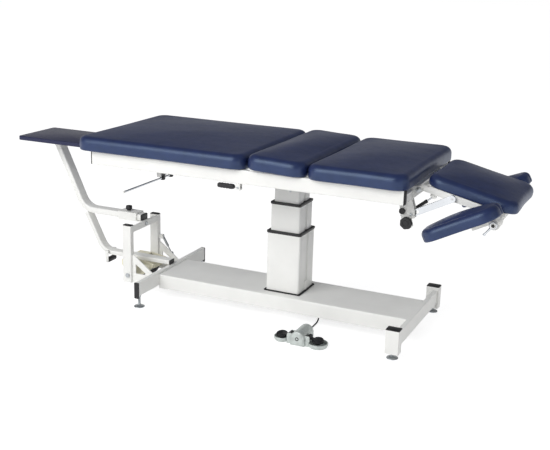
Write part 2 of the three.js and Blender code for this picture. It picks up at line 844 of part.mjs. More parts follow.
function postCap(sign) {
  const centre = [postX, sign * postSpacing / 2];
  const low = postTop + seat;
  const outline = roundedRectangle(postWidth, postDepth, crossTubeBend, centre);
  const lid = extruded(outline, "z", low, low + capThickness);
  const gap = 2 * (postWall + seat);
  const insert = roundedRectangle(postWidth - gap, postDepth - gap, crossTubeBend, centre);
  return join(lid, extruded(insert, "z", postTop - capInsert, low + capThickness / 2));
}

// A flat tube bent in the table's long plane: points are places of its middle line.
function bentTube(points, width, thickness) {
  const half = thickness / 2;
  const unit = (a, b) => [(b[0] - a[0]) / Math.hypot(b[0] - a[0], b[1] - a[1]),
    (b[1] - a[1]) / Math.hypot(b[0] - a[0], b[1] - a[1])];
  const offset = (side) => points.map((point, i) => {
    const into = i > 0 ? unit(points[i - 1], point) : unit(point, points[1]);
    const out = i < points.length - 1 ? unit(point, points[i + 1]) : into;
    const length = Math.hypot(into[0] + out[0], into[1] + out[1]);
    const mean = [(into[0] + out[0]) / length, (into[1] + out[1]) / length];
    const reach = half / (mean[0] * into[0] + mean[1] * into[1]);
    return [point[0] - side * mean[1] * reach, point[1] + side * mean[0] * reach];
  });
  return extruded(polygon([...offset(1), ...offset(-1).reverse()]), "y", -width / 2, width / 2);
}

// Points of a line that turns a corner on an arc.
function roundedCorner(from, corner, to, radius) {
  const steps = 4;
  const toward = (end) => {
    const share = radius / Math.hypot(end[0] - corner[0], end[1] - corner[1]);
    return [corner[0] + (end[0] - corner[0]) * share, corner[1] + (end[1] - corner[1]) * share];
  };
  const [start, end] = [toward(from), toward(to)];
  const points = [from];
  for (let step = 0; step <= steps; step += 1) {
    const t = step / steps;
    points.push([0, 1].map((i) => (1 - t) ** 2 * start[i] + 2 * t * (1 - t) * corner[i] + t ** 2 * end[i]));
  }
  return [...points, to];
}

function standArm() {
  const armHalf = armTubeThickness / 2;
  const upper = roundedCorner([armTopX, armTopZ], [armBendX, armZ], [armEndX, armZ], armTubeWidth);
  const lower = roundedCorner([armBendX + armHalf, armZ - armHalf + overrun], [lowerBendX, lowerTubeZ],
    [lowerEndX, lowerTubeZ], lowerTubeWidth);
  const bore = armHalf - railWall;
  const mouth = block([armEndX - armTubeWidth, -armTubeWidth / 2 + railWall, armZ - bore],
    [armEndX + overrun, armTubeWidth / 2 - railWall, armZ + bore]);
  const lowerBore = lowerTubeThickness / 2 - railWall;
  const lowerMouth = block(
    [lowerEndX - lowerTubeWidth, -lowerTubeWidth / 2 + railWall, lowerTubeZ - lowerBore],
    [lowerEndX + overrun, lowerTubeWidth / 2 - railWall, lowerTubeZ + lowerBore],
  );
  const plateTopZ = shelfTop - shelfThickness - seat;
  const plateX = armTopX - armTubeWidth / 4;
  const shelfPlate = block([plateX - armTubeWidth, -armTubeWidth, plateTopZ - saddleWall],
    [plateX + armTubeWidth, armTubeWidth, plateTopZ]);
  const neckLine = [[armTopX + overrun, armTopZ - overrun * 2], [armTopX - overrun, plateTopZ - saddleWall / 2]];
  const neck = bentTube(neckLine, armTubeWidth, armTubeThickness);
  const upperTube = bentTube(upper, armTubeWidth, armTubeThickness);
  const lowerTube = bentTube(lower, lowerTubeWidth, lowerTubeThickness);
  const whole = join(upperTube, lowerTube, shelfPlate, neck, glideEars());
  const above = block([plateX - armTubeWidth * 2, -armTubeWidth, plateTopZ],
    [plateX + armTubeWidth * 2, armTubeWidth, plateTopZ + armTubeWidth]);
  return cut(whole, mouth, lowerMouth, above);
}

// Two ears under the lower tube, and the pin of the glide roller between them.
function glideEars() {
  const face = glideLength / 2 + running;
  const half = glideRadius * 0.7;
  const high = lowerTubeZ + lowerTubeThickness / 2;
  const solids = [bar("y", glideRadius / 3, -face - railWall, face + railWall, [glideX, glideZ], 12)];
  sides.forEach(({ sign }) => {
    const [a, b] = [sign * face, sign * (face + railWall)].sort((u, v) => u - v);
    solids.push(block([glideX - half, a, glideZ - half], [glideX + half, b, high]));
  });
  solids.push(block([glideX - half, -face - railWall, lowerTubeZ], [glideX + half, face + railWall, high]));
  return join(...solids);
}

function glideRoller() {
  const half = glideLength / 2;
  const roller = bar("y", glideRadius, -half, half, [glideX, glideZ], 20);
  return cut(roller, bar("y", glideRadius / 3 + seat, -half - overrun, half + overrun, [glideX, glideZ], 12));
}

function armCap() {
  const centre = [0, armZ];
  const start = armEndX + seat;
  const lid = extruded(roundedRectangle(armTubeWidth, armTubeThickness, crossTubeBend, centre), "x",
    start, start + capThickness * 2);
  const gap = 2 * (railWall + seat);
  const insert = roundedRectangle(armTubeWidth - gap, armTubeThickness - gap, crossTubeBend, centre);
  return join(lid, extruded(insert, "x", start - capInsert, start + capThickness));
}

function tractionShelf() {
  const middle = [(shelfX[0] + shelfX[1]) / 2, 0];
  const outline = roundedRectangle(shelfX[1] - shelfX[0], shelfWidth, shelfCorner, middle);
  return extruded(outline, "z", shelfTop - shelfThickness, shelfTop, 3);
}

// A hand knob with a lobed grip: it stands on z = 0, with a stub of its screw below.
function knob(radius, height, lobes, screwRadius, screwLength) {
  const shape = new THREE.Shape();
  const steps = lobes * 4;
  const gripShare = 0.08;
  for (let step = 0; step < steps; step += 1) {
    const turn = step / steps * 2 * Math.PI;
    const r = radius * (1 - gripShare + gripShare * Math.cos(lobes * turn));
    if (step) shape.lineTo(r * Math.cos(turn), r * Math.sin(turn));
    else shape.moveTo(r, 0);
  }
  const grip = extruded(shape, "z", height / 4, height);
  const collar = bar("z", radius * 0.6, 0, height / 2, [0, 0], 16);
  const screw = bar("z", screwRadius, -screwLength, height / 4, [0, 0], 12);
  return join(grip, collar, screw);
}

function transportWheel() {
  const half = wheelWidth / 2;
  const edge = wheelWidth / 6;
  const hub = wheelRadius / 2;
  const dish = half * 0.6;
  const bore = wheelAxleRadius + seat;
  const profile = [
    [bore, -half], [hub, -half], [hub + edge, -dish], [wheelRadius - 3 * edge, -dish],
    [wheelRadius - 2 * edge, -half], [wheelRadius - edge, -half], [wheelRadius, -half + edge],
    [wheelRadius, half - edge], [wheelRadius - edge, half], [wheelRadius - 2 * edge, half],
    [wheelRadius - 3 * edge, dish], [hub + edge, dish], [hub, half], [bore, half], [bore, -half],
  ].map(([r, y]) => new THREE.Vector2(r, y));
  return solidOf(new THREE.LatheGeometry(profile, 20));
}

// A round strut between two points of the long plane, with an eye at each end.
function strut(from, to, y) {
  const length = Math.hypot(to.x - from.x, to.z - from.z);
  const slope = Math.atan2(to.z - from.z, to.x - from.x);
  const body = bar("x", stayRadius * 0.8, stayRadius / 2, length * 0.6, [0, 0], 12);
  const rod = bar("x", stayRadius * 0.4, length / 2, length - stayRadius / 2, [0, 0], 12);
  const eyes = [0, length].map((x) => bar("y", stayRadius, -stayRadius, stayRadius, [x, 0], 16));
  return join(body, rod, ...eyes).rotate([0, -slope / degree, 0]).translate([from.x, y, from.z]);
}

// Top frame.
const railInner = railOuterY - railThickness;
const railMiddle = railOuterY - railThickness / 2;

function topFrame() {
  const solids = [];
  sides.forEach(({ sign }) => {
    const centre = [sign * railMiddle, railTop - railHeight / 2];
    const rail = tubeSection(railThickness, railHeight, crossTubeBend, railWall, centre);
    solids.push(extruded(rail, "x", railFootX, railHeadX));
    const [a, b] = [sign * (railInner + railWall / 2), sign * (railInner - ledgeWidth)].sort((u, v) => u - v);
    solids.push(block([railFootX + crossMemberWidth, a, ledgeZ], [carriageX[1] + crossMemberWidth, b,
      ledgeZ + ledgeThickness]));
  });
  const across = railInner + railWall / 2;
  const members = [
    [releaseX - crossMemberWidth / 2, crossMemberWidth, flatMemberHeight],
    [-columnPlateX / 2, crossMemberWidth, crossMemberHeight],
    [columnPlateX / 2 - crossMemberWidth, crossMemberWidth, crossMemberHeight],
    [railFootX, railThickness, endBarHeight],
    [railHeadX - railThickness, railThickness, endBarHeight],
  ];
  members.forEach(([x, width, height]) => {
    solids.push(block([x, -across, railBottom], [x + width, across, railBottom + height]));
  });
  solids.push(block([-columnPlateX / 2, -columnPlateY / 2, framePlateBottom],
    [columnPlateX / 2, columnPlateY / 2, railBottom + railWall]));
  return join(...solids, ...midPackers(), ...hingeLugs(), ...releaseHanger(), ...lockCheeks());
}

// Wedges on the rails under the mid cushion, which rises to the foot end.
function midPackers() {
  const slope = Math.tan(midCushionTilt * degree);
  const [from, to] = [midCushionX[0] + cushionRoll / 2, midCushionX[1] - cushionRoll];
  const rise = (x) => railTop + (midCushionX[1] - x) * slope;
  const low = railTop - railWall / 2;
  const outline = polygon([[from, low], [to, low], [to, rise(to)], [from, rise(from)]]);
  return sides.map(({ sign }) =>
    extruded(outline, "y", sign * railMiddle - railThickness / 3, sign * railMiddle + railThickness / 3));
}

// Two lugs at the head end and the hinge rod between them.
function hingeLugs() {
  const start = railHeadX - railThickness / 2;
  const outline = new THREE.Shape();
  outline.moveTo(start, railBottom);
  outline.lineTo(railHeadX, railBottom);
  const turn = -Math.PI / 6;
  outline.lineTo(hingeX + hingeLugRadius * Math.cos(turn), hingeZ + hingeLugRadius * Math.sin(turn));
  outline.absarc(hingeX, hingeZ, hingeLugRadius, turn, Math.PI / 2);
  outline.lineTo(start, railBottom + endBarHeight + hingeLugRadius);
  const half = hingeLugThickness / 2;
  const lugs = sides.map(({ sign }) =>
    extruded(outline, "y", sign * hingeLugY - half, sign * hingeLugY + half, 3));
  const reach = hingeLugY + hingeLugThickness;
  return [...lugs, bar("y", hingeRodRadius, -reach, reach, [hingeX, hingeZ], 16)];
}

// Two plates below the foot-end member that carry the release bar's pivot pin.
const releasePivotZ = releaseZ + releaseHubRise;

function releaseHanger() {
  const half = releaseHubRadius;
  const inner = releaseHubHalf + running;
  const plates = sides.map(({ sign }) => {
    const [a, b] = [sign * inner, sign * (inner + hangerPlate)].sort((u, v) => u - v);
    const top = railBottom + flatMemberHeight / 2;
    return block([releaseX - half, a, releasePivotZ - half], [releaseX + half, b, top]);
  });
  const reach = inner + hangerPlate;
  return [...plates, bar("y", releaseRodRadius, -reach, reach, [releaseX, releasePivotZ], 16)];
}

function releaseBar() {
  const inner = releaseHalf - releaseRodRadius;
  const rod = bar("y", releaseRodRadius, -inner, inner, [releaseX, releaseZ], 16);
  const tips = sides.map(({ sign }) => {
    const [a, b] = [sign * (inner - releaseRodRadius), sign * releaseHalf].sort((u, v) => u - v);
    return bar("y", releaseRodRadius * 0.75, a, b, [releaseX, releaseZ], 12);
  });
  return join(rod, ...tips);
}

function releaseHub() {
  const tube = bar("y", releaseHubRadius, -releaseHubHalf, releaseHubHalf, [releaseX, releasePivotZ], 20);
  const clips = sides.map(({ sign }) => {
    const y = sign * releaseClipY;
    const half = releaseClipWidth / 2;
    const low = releaseZ - releaseRodRadius - hangerPlate;
    return block([releaseX - releaseRodRadius - hangerPlate, y - half, low],
      [releaseX + releaseRodRadius + hangerPlate, y + half, releasePivotZ]);
  });
  const reach = releaseHubHalf + overrun;
  const bores = [releasePivotZ, releaseZ].map((z) =>
    bar("y", releaseRodRadius + seat, -reach, reach, [releaseX, z], 16));
  return cut(join(tube, ...clips), ...bores);
}

// Cheeks under the near rail that hold the lock lever's pin.
function lockCheeks() {
  const half = lockGripRadius;
  const inner = lockShankRadius + running;
  const cheeks = [-1, 1].map((face) => {
    const [a, b] = [face * inner, face * (inner + lockCheek)].sort((u, v) => u - v).map((y) => y - railMiddle);
    return block([lockX - half, a, lockZ - half], [lockX + half, b, railBottom + railWall / 2]);
  });
  const reach = inner + lockCheek;
  return [...cheeks, bar("y", lockPinRadius, -railMiddle - reach, -railMiddle + reach, [lockX, lockZ], 12)];
}

function lockLever() {
  const tip = -lockLength;
  const shank = bar("x", lockShankRadius, tip + lockGripLength / 2, -lockShankRadius, [0, 0], 12);
  const eye = bar("y", lockShankRadius * 1.6, -lockShankRadius, lockShankRadius, [0, 0], 16);
  const pinHole = bar("y", lockPinRadius + seat, -lockGripRadius, lockGripRadius, [0, 0], 12);
  const rounding = lockGripRadius / 3;
  const grip = turned([
    [0, 0], [lockGripRadius - rounding, 0], [lockGripRadius, rounding],
    [lockGripRadius, lockGripLength - 2 * rounding], [lockGripRadius - rounding, lockGripLength],
    [0, lockGripLength],
  ], [0, 0, 0], 16).rotate([0, 90, 0]).translate([tip, 0, 0]);
  return cut(join(shank, eye, grip), pinHole);
}

// Rolling carriage under the leg cushion.
const rollerAxisZ = ledgeZ + ledgeThickness + seat + rollerRadius;
const carriageSide = railInner - rollerWidth - 2 * running;

function legCarriage() {
  const top = railTop + carriageRise;
  const solids = sides.map(({ sign }) => {
    const [a, b] = [sign * carriageSide, sign * (carriageSide - carriageBar)].sort((u, v) => u - v);
    return block([carriageX[0], a, top - carriageBarHeight], [carriageX[1], b, top]);
  });
  const across = carriageSide - carriageBar / 2;
  const lastStrip = carriageX[1] - crossMemberWidth;
  const strips = [carriageX[0], (carriageX[0] + lastStrip) / 2, lastStrip];
  strips.forEach((x) => {
    solids.push(block([x, -across, top - carriageBar], [x + crossMemberWidth, across, top]));
  });
  const reach = carriageSide + overrun;
  const holes = rollerX.map((x) => bar("y", axleRadius + seat, -reach, reach, [x, rollerAxisZ], 16));
  return cut(join(...solids), ...holes);
}

function rollerAxle(x) {
  const inner = carriageSide + running;
  const outer = inner + rollerWidth;
  const rollers = sides.map(({ sign }) => {
    const [a, b] = [sign * inner, sign * outer].sort((u, v) => u - v);
    return bar("y", rollerRadius, a, b, [x, rollerAxisZ], 20);
  });
  return join(bar("y", axleRadius, -outer, outer, [x, rollerAxisZ], 16), ...rollers);
}

// Head section, in the head frame.
const headBarOuter = headBarY + headBarWidth / 2;
const headBarLow = headBarZ - headBarHeight / 2;
const headBarHigh = headBarZ + headBarHeight / 2;
const forkCentreY = -headBarOuter - seat - ribbedArmWidth / 2;

function headFrame() {
  const inner = headBarOuter - headBarWidth;
  const crossStarts = [headCushionStart + headBarWidth, headFrameEnd - headBarWidth];
  const bars = sides.map(({ sign }) => {
    const [a, b] = [sign * headBarOuter, sign * inner].sort((u, v) => u - v);
    return join(block([0, a, headBarLow], [headFrameEnd, b, headBarHigh]),
      bar("y", hingeLugRadius - running, a, b, [0, 0], 20));
  });
  const crosses = crossStarts.map((x) =>
    block([x, -headBarOuter, headBarLow], [x + headBarWidth, headBarOuter, headBarHigh]));
  const board = block([headCushionStart + headBarWidth, -headBarOuter, headBarHigh - headBarWidth / 4],
    [headFrameEnd, headBarOuter, headCushionZ - seat]);
  const rod = bar("y", armrestRodRadius, -armrestRodReach, armrestRodReach, [armrestRodX, headBarZ], 16);
  const bore = bar("y", hingeRodRadius + seat, -headBarOuter - overrun, headBarOuter + overrun, [0, 0], 16);
  const clevisFace = springY + springEye / 2 + seat;
  const clevis = block([crossStarts[0] + headBarWidth / 3, clevisFace, springUpperZ - springRadius],
    [springUpperX + springRadius, clevisFace + hangerPlate, headBarLow + overrun]);
  const clevisPin = bar("y", springPinRadius, springY - springEye / 2, clevisFace + hangerPlate / 2,
    [springUpperX, springUpperZ], 12);
  const armPin = bar("y", supportPinRadius, forkCentreY - ribbedArmWidth / 2 - running, -headBarOuter + overrun,
    [ribbedArmUpperX, ribbedArmUpperZ], 16);
  return join(cut(join(...bars, ...crosses), bore), board, rod, clevis, clevisPin, armPin);
}

// Support of the head section, in the table's frame.
const forkFaces = [forkCentreY - forkGap / 2 - forkPlate, forkCentreY + forkGap / 2];

function headBracket() {
  const top = railBottom - seat;
  const k = clampKnobRadius;
  const outline = polygon([
    [railHeadX - 2.3 * k, top], [railHeadX, top], [forkX + k / 2, forkZ + 0.7 * k],
    [forkX + 0.6 * k, forkZ - k / 2], [forkX - k / 6, forkZ - 0.8 * k],
    [clampKnobX + 0.7 * k, clampKnobZ - 0.8 * k], [clampKnobX - k / 2, clampKnobZ - 0.8 * k],
    [clampKnobX - 0.8 * k, clampKnobZ],
    [pivotKnobX - k / 2, pivotKnobZ - k / 6], [pivotKnobX - k / 2, pivotKnobZ + k / 2],
  ]);
  const near = forkFaces[0];
  const far = forkFaces[1] + forkPlate;
  const plates = forkFaces.map((y) => extruded(outline, "y", y, y + forkPlate));
  const web = block([pivotKnobX - k / 6, near, pivotKnobZ + k], [pivotKnobX + k / 6, far, top]);
  const flange = block([railHeadX - 2 * k, near, top - forkPlate], [railHeadX - seat, far, top]);
  const pins = [
    bar("y", supportPinRadius, near, far, [forkX, forkZ], 16),
    bar("y", supportPinRadius, far - forkPlate / 2, springY + springEye / 2 + running,
      [springLowerX, springLowerZ], 16),
  ];
  const holes = [[clampKnobX, clampKnobZ], [pivotKnobX, pivotKnobZ]].map((at) =>
    bar("y", supportPinRadius + seat, near - overrun, near + forkPlate + running, at, 16));
  return cut(join(...plates, web, flange, ...pins), ...holes);
}

// The ribbed arm, along -X from its upper pin, with the slot that slides on the fork's pin.
function ribbedArm() {
  const half = ribbedArmHeight / 2;
  const tip = -ribbedArmLength;
  const ribFrom = -half * 2;
  const pitch = (tip - ribFrom) / ribCount;
  const points = [];
  for (let i = 0; i < ribCount; i += 1) {
    const x = ribFrom + i * pitch;
    points.push([x, half], [x + pitch / 2, half]);
    points.push([x + pitch / 2, half - ribDepth], [x + pitch, half - ribDepth]);
  }
  const outline = polygon([...points, [tip, -half], [ribFrom, -half], [0, -half], [0, half]]);
  const [slotNear, slotFar] = ribbedArmSlotShares.map((share) => tip * share);
  const slotMiddle = [(slotNear + slotFar) / 2, 0];
  outline.holes.push(roundedRectangle(slotNear - slotFar, ribbedArmSlot, ribbedArmSlot / 2, slotMiddle));
  const [a, b] = [-ribbedArmWidth / 2, ribbedArmWidth / 2];
  const eye = bar("y", half, a, b, [0, 0], 20);
  const pinHole = bar("y", supportPinRadius + seat, a - overrun, b + overrun, [0, 0], 16);
  return cut(join(extruded(outline, "y", a, b), eye), pinHole);
}

// The gas spring lies along +X from its lower pin to its upper pin.
function springBody() {
  const start = supportPinRadius + seat + running;
  const tube = bar("x", springRadius, start, springBodyLength, [0, 0], 16);
  const bore = bar("x", springRodRadius + seat, springRadius * 1.6, springBodyLength + overrun, [0, 0], 12);
  const eye = bar("y", springRadius, -springEye / 2, springEye / 2, [0, 0], 16);
  const pinHole = bar("y", supportPinRadius + seat, -springEye, springEye, [0, 0], 16);
  return cut(join(tube, eye), bore, pinHole);
}

function springRod(length) {
  const radius = springRadius * 0.8;
  const rod = bar("x", springRodRadius, springRodStart, length - radius / 2, [0, 0], 12);
  const eye = bar("y", radius, -springEye / 2, springEye / 2, [length, 0], 16);
  return cut(join(rod, eye), bar("y", supportPinRadius, -springEye, springEye, [length, 0], 16));
}

// Armrests, each in its own frame.
const armrestPlateShares = [0.6, 0.07];

function armrestPad() {
  const form = { corner: armrestCorner, roll: cushionRoll * 0.85, crown: cushionCrown, drawIn: cushionDrawIn };
  const pad = cushion(armrestLength, armrestWidth, armrestThickness, form);
  return pad.translate(armrestBeyondPivot - armrestLength / 2, 0, armrestLift + seat);
}

function armrestBracket() {
  const [from, to] = armrestPlateShares.map((share, i) => (i ? 1 : -1) * share * armrestLength);
  const half = armrestBossHalf;
  const outline = roundedRectangle(to - from, half * 2, half / 2, [(from + to) / 2, 0]);
  const plate = extruded(outline, "z", armrestLift - hangerPlate, armrestLift, 2);
  const ribX = from / 2;
  const rib = block([ribX, -hangerPlate / 2, 0], [0, hangerPlate / 2, armrestLift - hangerPlate / 2]);
  const boss = bar("y", armrestLift - seat, -half, half, [0, 0], 20);
  const bore = bar("y", armrestRodRadius + seat, -half - overrun, half + overrun, [0, 0], 20);
  return cut(join(plate, rib, boss), bore);
}

// A clamp lever on the rod's end: hub, handle along -X and a round end.
function armrestLever(sign) {
  const start = armrestBossHalf + running;
  const middle = sign * (start + leverHubWidth / 2);
  const [a, b] = [sign * start, sign * (start + leverHubWidth)].sort((u, v) => u - v);
  const hub = bar("y", armrestRodRadius * 1.5, a, b, [0, 0], 20);
  const bore = bar("y", armrestRodRadius + seat, a - overrun, b + overrun, [0, 0], 20);
  const radius = leverHubWidth / 3;
  const handle = bar("x", radius, radius - leverLength, -armrestRodRadius, [middle, 0], 12);
  const end = solidOf(new THREE.SphereGeometry(radius * 1.3, 12, 8).translate(radius - leverLength, middle, 0));
  return cut(join(hub, handle, end), bore);
}

// Foot control: a cast body with an arched back, and a dish under each pedal.
const controlFloor = 4;
const pedalPinRadius = 3;
const pedalHubX = controlBodyWidth / 2 + pedalHubRadius + running;

function controlCasting() {
  const half = controlBodyWidth / 2;
  const [front, back] = [controlY - controlBodyFront, controlY + controlBodyBack];
  const arch = (radius, low) => {
    const shape = new THREE.Shape();
    shape.moveTo(controlX - radius, low);
    shape.lineTo(controlX + radius, low);
    shape.lineTo(controlX + radius, controlBodyHeight - half);
    shape.absarc(controlX, controlBodyHeight - half, radius, 0, Math.PI);
    return shape;
  };
  const body = extruded(arch(half, 0), "y", front, back, 6);
  const wall = controlDishWall;
  const hollow = extruded(arch(half - wall, -overrun), "y", front + wall, back - wall, 6);
  const eye = bar("y", wall * 1.5, front - overrun, front + wall * 2, [controlX, controlBodyHeight / 2], 12);
  const relief = bar("y", leadRadius * 2, back - wall / 2, back + wall, [leadX, leadZ], 12);
  const parts = [cut(body, hollow, eye), relief];
  controlPedals.forEach(({ sign, dish }) => parts.push(...pedalSeat(sign, dish)));
  return join(...parts);
}

// A pedal's dish, the web to the body, and the two cheeks and pin of its hub.
function pedalSeat(sign, dish) {
  const x = controlX + sign * pedalOffset;
  const wall = controlDishWall;
  const bowl = turned([
    [0, 0], [dish - wall, 0], [dish, controlDishHeight - wall], [dish, controlDishHeight],
    [dish - wall, controlDishHeight], [dish - 2 * wall, controlFloor], [0, controlFloor],
  ], [x, controlY - pedalForward, 0], 24);
  const span = (from, to) => [controlX + sign * from, controlX + sign * to].sort((u, v) => u - v);
  const webSpan = span(controlBodyWidth / 2 - wall / 2, pedalOffset - dish + wall);
  const y = controlY - pedalForward;
  const hubHalf = pedalHubLength / 2;
  const web = block([webSpan[0], y - hubHalf, 0], [webSpan[1], y + hubHalf, controlFloor * 2]);
  const cheekSpan = span(controlBodyWidth / 2 - wall / 2, pedalHubX + pedalHubRadius);
  const cheeks = [-1, 1].map((face) => {
    const [a, b] = [y + face * (hubHalf + running), y + face * (hubHalf + running + wall)].sort((u, v) => u - v);
    return block([cheekSpan[0], a, 0], [cheekSpan[1], b, pedalHubZ + pedalHubRadius]);
  });
  const reach = hubHalf + running + wall;
  const pin = bar("y", pedalPinRadius, y - reach, y + reach, [controlX + sign * pedalHubX, pedalHubZ], 12);
  return [bowl, web, ...cheeks, pin];
}

// A pedal in the frame of its hub: the arm runs outward and ends in a tilted disc.
function pedal(sign) {
  const reach = pedalOffset - pedalHubX;
  const drop = pedalHubZ - pedalZ;
  const hub = bar("y", pedalHubRadius, -pedalHubLength / 2, pedalHubLength / 2, [0, 0], 16);
  const half = pedalArmHeight / 2;
  const outline = polygon([[0, half], [0, -half], [sign * reach, -drop - half], [sign * reach, -drop + half]]);
  const arm = extruded(outline, "y", -pedalArmWidth / 2, pedalArmWidth / 2);
  const edge = pedalThickness / 4;
  const disc = turned([
    [0, 0], [pedalRadius - edge, 0], [pedalRadius, edge],
    [pedalRadius, pedalThickness - edge], [pedalRadius - edge, pedalThickness], [0, pedalThickness],
  ], [0, 0, -pedalThickness / 2], 24).rotate([pedalTilt, 0, 0]).translate([sign * reach, 0, -drop]);
  return cut(join(hub, arm, disc), bar("y", pedalPinRadius + seat, -pedalHubLength, pedalHubLength, [0, 0], 12));
}

// A group of its own at a place of its parent, turned about the Y axis.
function frameAt(parent, position, turn = 0) {
  const group = new THREE.Group();
  group.position.set(...position);
  group.rotation.y = turn;
  parent.add(group);
  return group;
}

// The assembly.
const table = new THREE.Group();

piece("base_channel", baseChannel(), whitePaint, table);
piece("head_cross_frame", headCrossFrame(), whitePaint, table);
piece("foot_cross_tube", footCrossTube(), whitePaint, table);
const levelFeet = [
  ["head", headLegX, headLegSpacing / 2, legBottom],
  ["foot", footCrossX, footCrossFeetSpacing / 2, footCrossTop - crossTubeHeight],
];
sides.forEach(({ name, sign }) => {
  piece(`leg_cap_${name}`, legCap(sign), blackPlastic, table);
  levelFeet.forEach(([end, x, y, tubeBottom]) => {
    piece(`level_foot_${end}_${name}`, levellingFoot(x, sign * y, tubeBottom), zincSteel, table);
  });
});

piece("column_lower", stage(lowerStage, lowerStageBottom, lowerStageTop), whitePaint, table);
piece("column_gasket", columnGasket(), blackRubber, table);
piece("column_collar_low", stageCollar(lowerStage, middleStage, lowerStageTop + seat), blackPlastic, table);
piece("column_middle", stage(middleStage, middleStageBottom, middleStageTop), whitePaint, table);
piece("column_collar_mid", stageCollar(middleStage, innerStage, middleStageTop + seat), blackPlastic, table);
piece("column_inner", stage(innerStage, innerStageBottom, framePlateBottom - seat), whitePaint, table);
piece("lift_screw_outer", screwTube(screwOuterRadius, screwMiddleRadius + seat,
  plateTop + seat, lowerStageTop - screwOuterRadius), zincSteel, table);
piece("lift_screw_middle", screwTube(screwMiddleRadius, screwInnerRadius + seat,
  middleStageBottom + running, middleStageTop - screwMiddleRadius), chrome, table);
piece("lift_screw_inner", screwTube(screwInnerRadius, 0,
  innerStageBottom + running, framePlateBottom - seat), zincSteel, table);
piece("lift_motor", liftMotor(), greyPaint, table);
piece("control_box", controlBox(), greyPaint, table);

piece("stand_frame", standFrame(), whitePaint, table);
piece("wheel_fork", wheelFork(), creamPaint, table);
sides.forEach(({ name, sign }) => {
  piece(`post_cap_${name}`, postCap(sign), blackPlastic, table);
  const wheel = transportWheel().translate([wheelX, sign * wheelY, wheelZ]);
  piece(`transport_wheel_${name}`, wheel, blackRubber, table);
});
piece("stand_arm", standArm(), whitePaint, table);
piece("arm_cap", armCap(), blackPlastic, table);
piece("glide_roller", glideRoller(), blackPlastic, table);
piece("traction_shelf", tractionShelf(), navyBoard, table);
piece("stand_knob", knob(standKnobRadius, standKnobHeight, 6, standKnobRadius / 3, saddleWall)
  .translate([standKnobX, 0, armZ + armTubeThickness / 2 + 2 * seat + saddleWall]), blackPlastic, table);
const stayY = postSpacing / 2 + standPlateThickness / 2 + seat + stayRadius;
piece("stand_stay", strut(stayFrom, stayTo, stayY), zincSteel, table);

piece("top_frame", topFrame(), whitePaint, table);
piece("leg_carriage", legCarriage(), zincSteel, table);
rollerX.forEach((x, i) => piece(`carriage_axle_${i ? "head" : "foot"}`, rollerAxle(x), zincSteel, table));

const cushionForm = { corner: cushionCorner, roll: cushionRoll, crown: cushionCrown, drawIn: cushionDrawIn };
function topCushion(name, [from, to], z, turn) {
  const place = frameAt(table, [to, 0, z], turn);
  const pad = cushion(to - from, tableWidth, cushionThickness, cushionForm).translate((from - to) / 2, 0, 0);
  piece(name, pad, bluePad, place);
}
topCushion("leg_cushion", legCushionX, railTop + carriageRise + seat, 0);
topCushion("mid_cushion", midCushionX, railTop + seat, midCushionTilt * degree);
topCushion("chest_cushion", chestCushionX, railTop + seat, 0);

piece("release_bar", releaseBar(), chrome, table);
piece("release_hub", releaseHub(), blackPlastic, table);
piece("lock_lever", lockLever(), blackPlastic, frameAt(table, [lockX, -railMiddle, lockZ]));

const head = frameAt(table, [hingeX, 0, hingeZ], headTilt * degree);
piece("head_frame", headFrame(), whitePaint, head);
const headPad = cushion(headLength, headWidth, headCushionThickness, cushionForm)
  .translate(headCushionStart + headLength / 2, 0, headCushionZ);
piece("head_cushion", headPad, bluePad, head);
piece("head_bracket", headBracket(), whitePaint, table);

// Places of the support's pins in the table's frame, from their places in the head frame.
function headPlace(x, z) {
  const turn = headTilt * degree;
  return [hingeX + x * Math.cos(turn) + z * Math.sin(turn), hingeZ - x * Math.sin(turn) + z * Math.cos(turn)];
}
const [armPinX, armPinZ] = headPlace(ribbedArmUpperX, ribbedArmUpperZ);
const armAngle = Math.atan2(armPinZ - forkZ, armPinX - forkX);
piece("ratchet_arm", ribbedArm(), chrome, frameAt(table, [armPinX, forkCentreY, armPinZ], -armAngle));
const [springPinX, springPinZ] = headPlace(springUpperX, springUpperZ);
const springAngle = Math.atan2(springPinZ - springLowerZ, springPinX - springLowerX);
const springLength = Math.hypot(springPinZ - springLowerZ, springPinX - springLowerX);
const spring = frameAt(table, [springLowerX, springY, springLowerZ], -springAngle);
piece("gas_spring_body", springBody(), blackPlastic, spring);
piece("gas_spring_rod", springRod(springLength), chrome, spring);
const knobFace = forkFaces[0] - seat;
piece("clamp_knob", knob(clampKnobRadius, clampKnobThickness, 7, supportPinRadius, forkPlate)
  .rotate([90, 0, 0]).translate([clampKnobX, knobFace, clampKnobZ]), blackPlastic, table);
piece("pivot_knob", knob(pivotKnobRadius, pivotKnobThickness, 5, supportPinRadius, forkPlate)
  .rotate([90, 0, 0]).translate([pivotKnobX, knobFace, pivotKnobZ]), blackPlastic, table);

sides.forEach(({ name, sign }) => {
  const turn = -(headTilt + armrestSlope) * degree;
  const place = frameAt(head, [armrestRodX, sign * armrestCentreY, headBarZ], turn);
  piece(`armrest_cushion_${name}`, armrestPad(), bluePad, place);
  piece(`armrest_bracket_${name}`, armrestBracket(), whitePaint, place);
  piece(`armrest_lever_${name}`, armrestLever(sign), chrome, frameAt(place, [0, 0, 0], -leverDroop * degree));
});

piece("foot_control", controlCasting(), castAluminium, table);
controlPedals.forEach(({ name, sign }) => {
  const place = frameAt(table, [controlX + sign * pedalHubX, controlY - pedalForward, pedalHubZ]);
  piece(`pedal_${name}`, pedal(sign), blackPlastic, place);
});
piece("control_lead", controlLead(), blackRubber, table);

// The whole table stands with the middle of its length at x = 0.
const box = new THREE.Box3().setFromObject(table);
table.position.x = -(box.min.x + box.max.x) / 2;
const tractionTable = new THREE.Group();
tractionTable.add(table);

export default tractionTable;
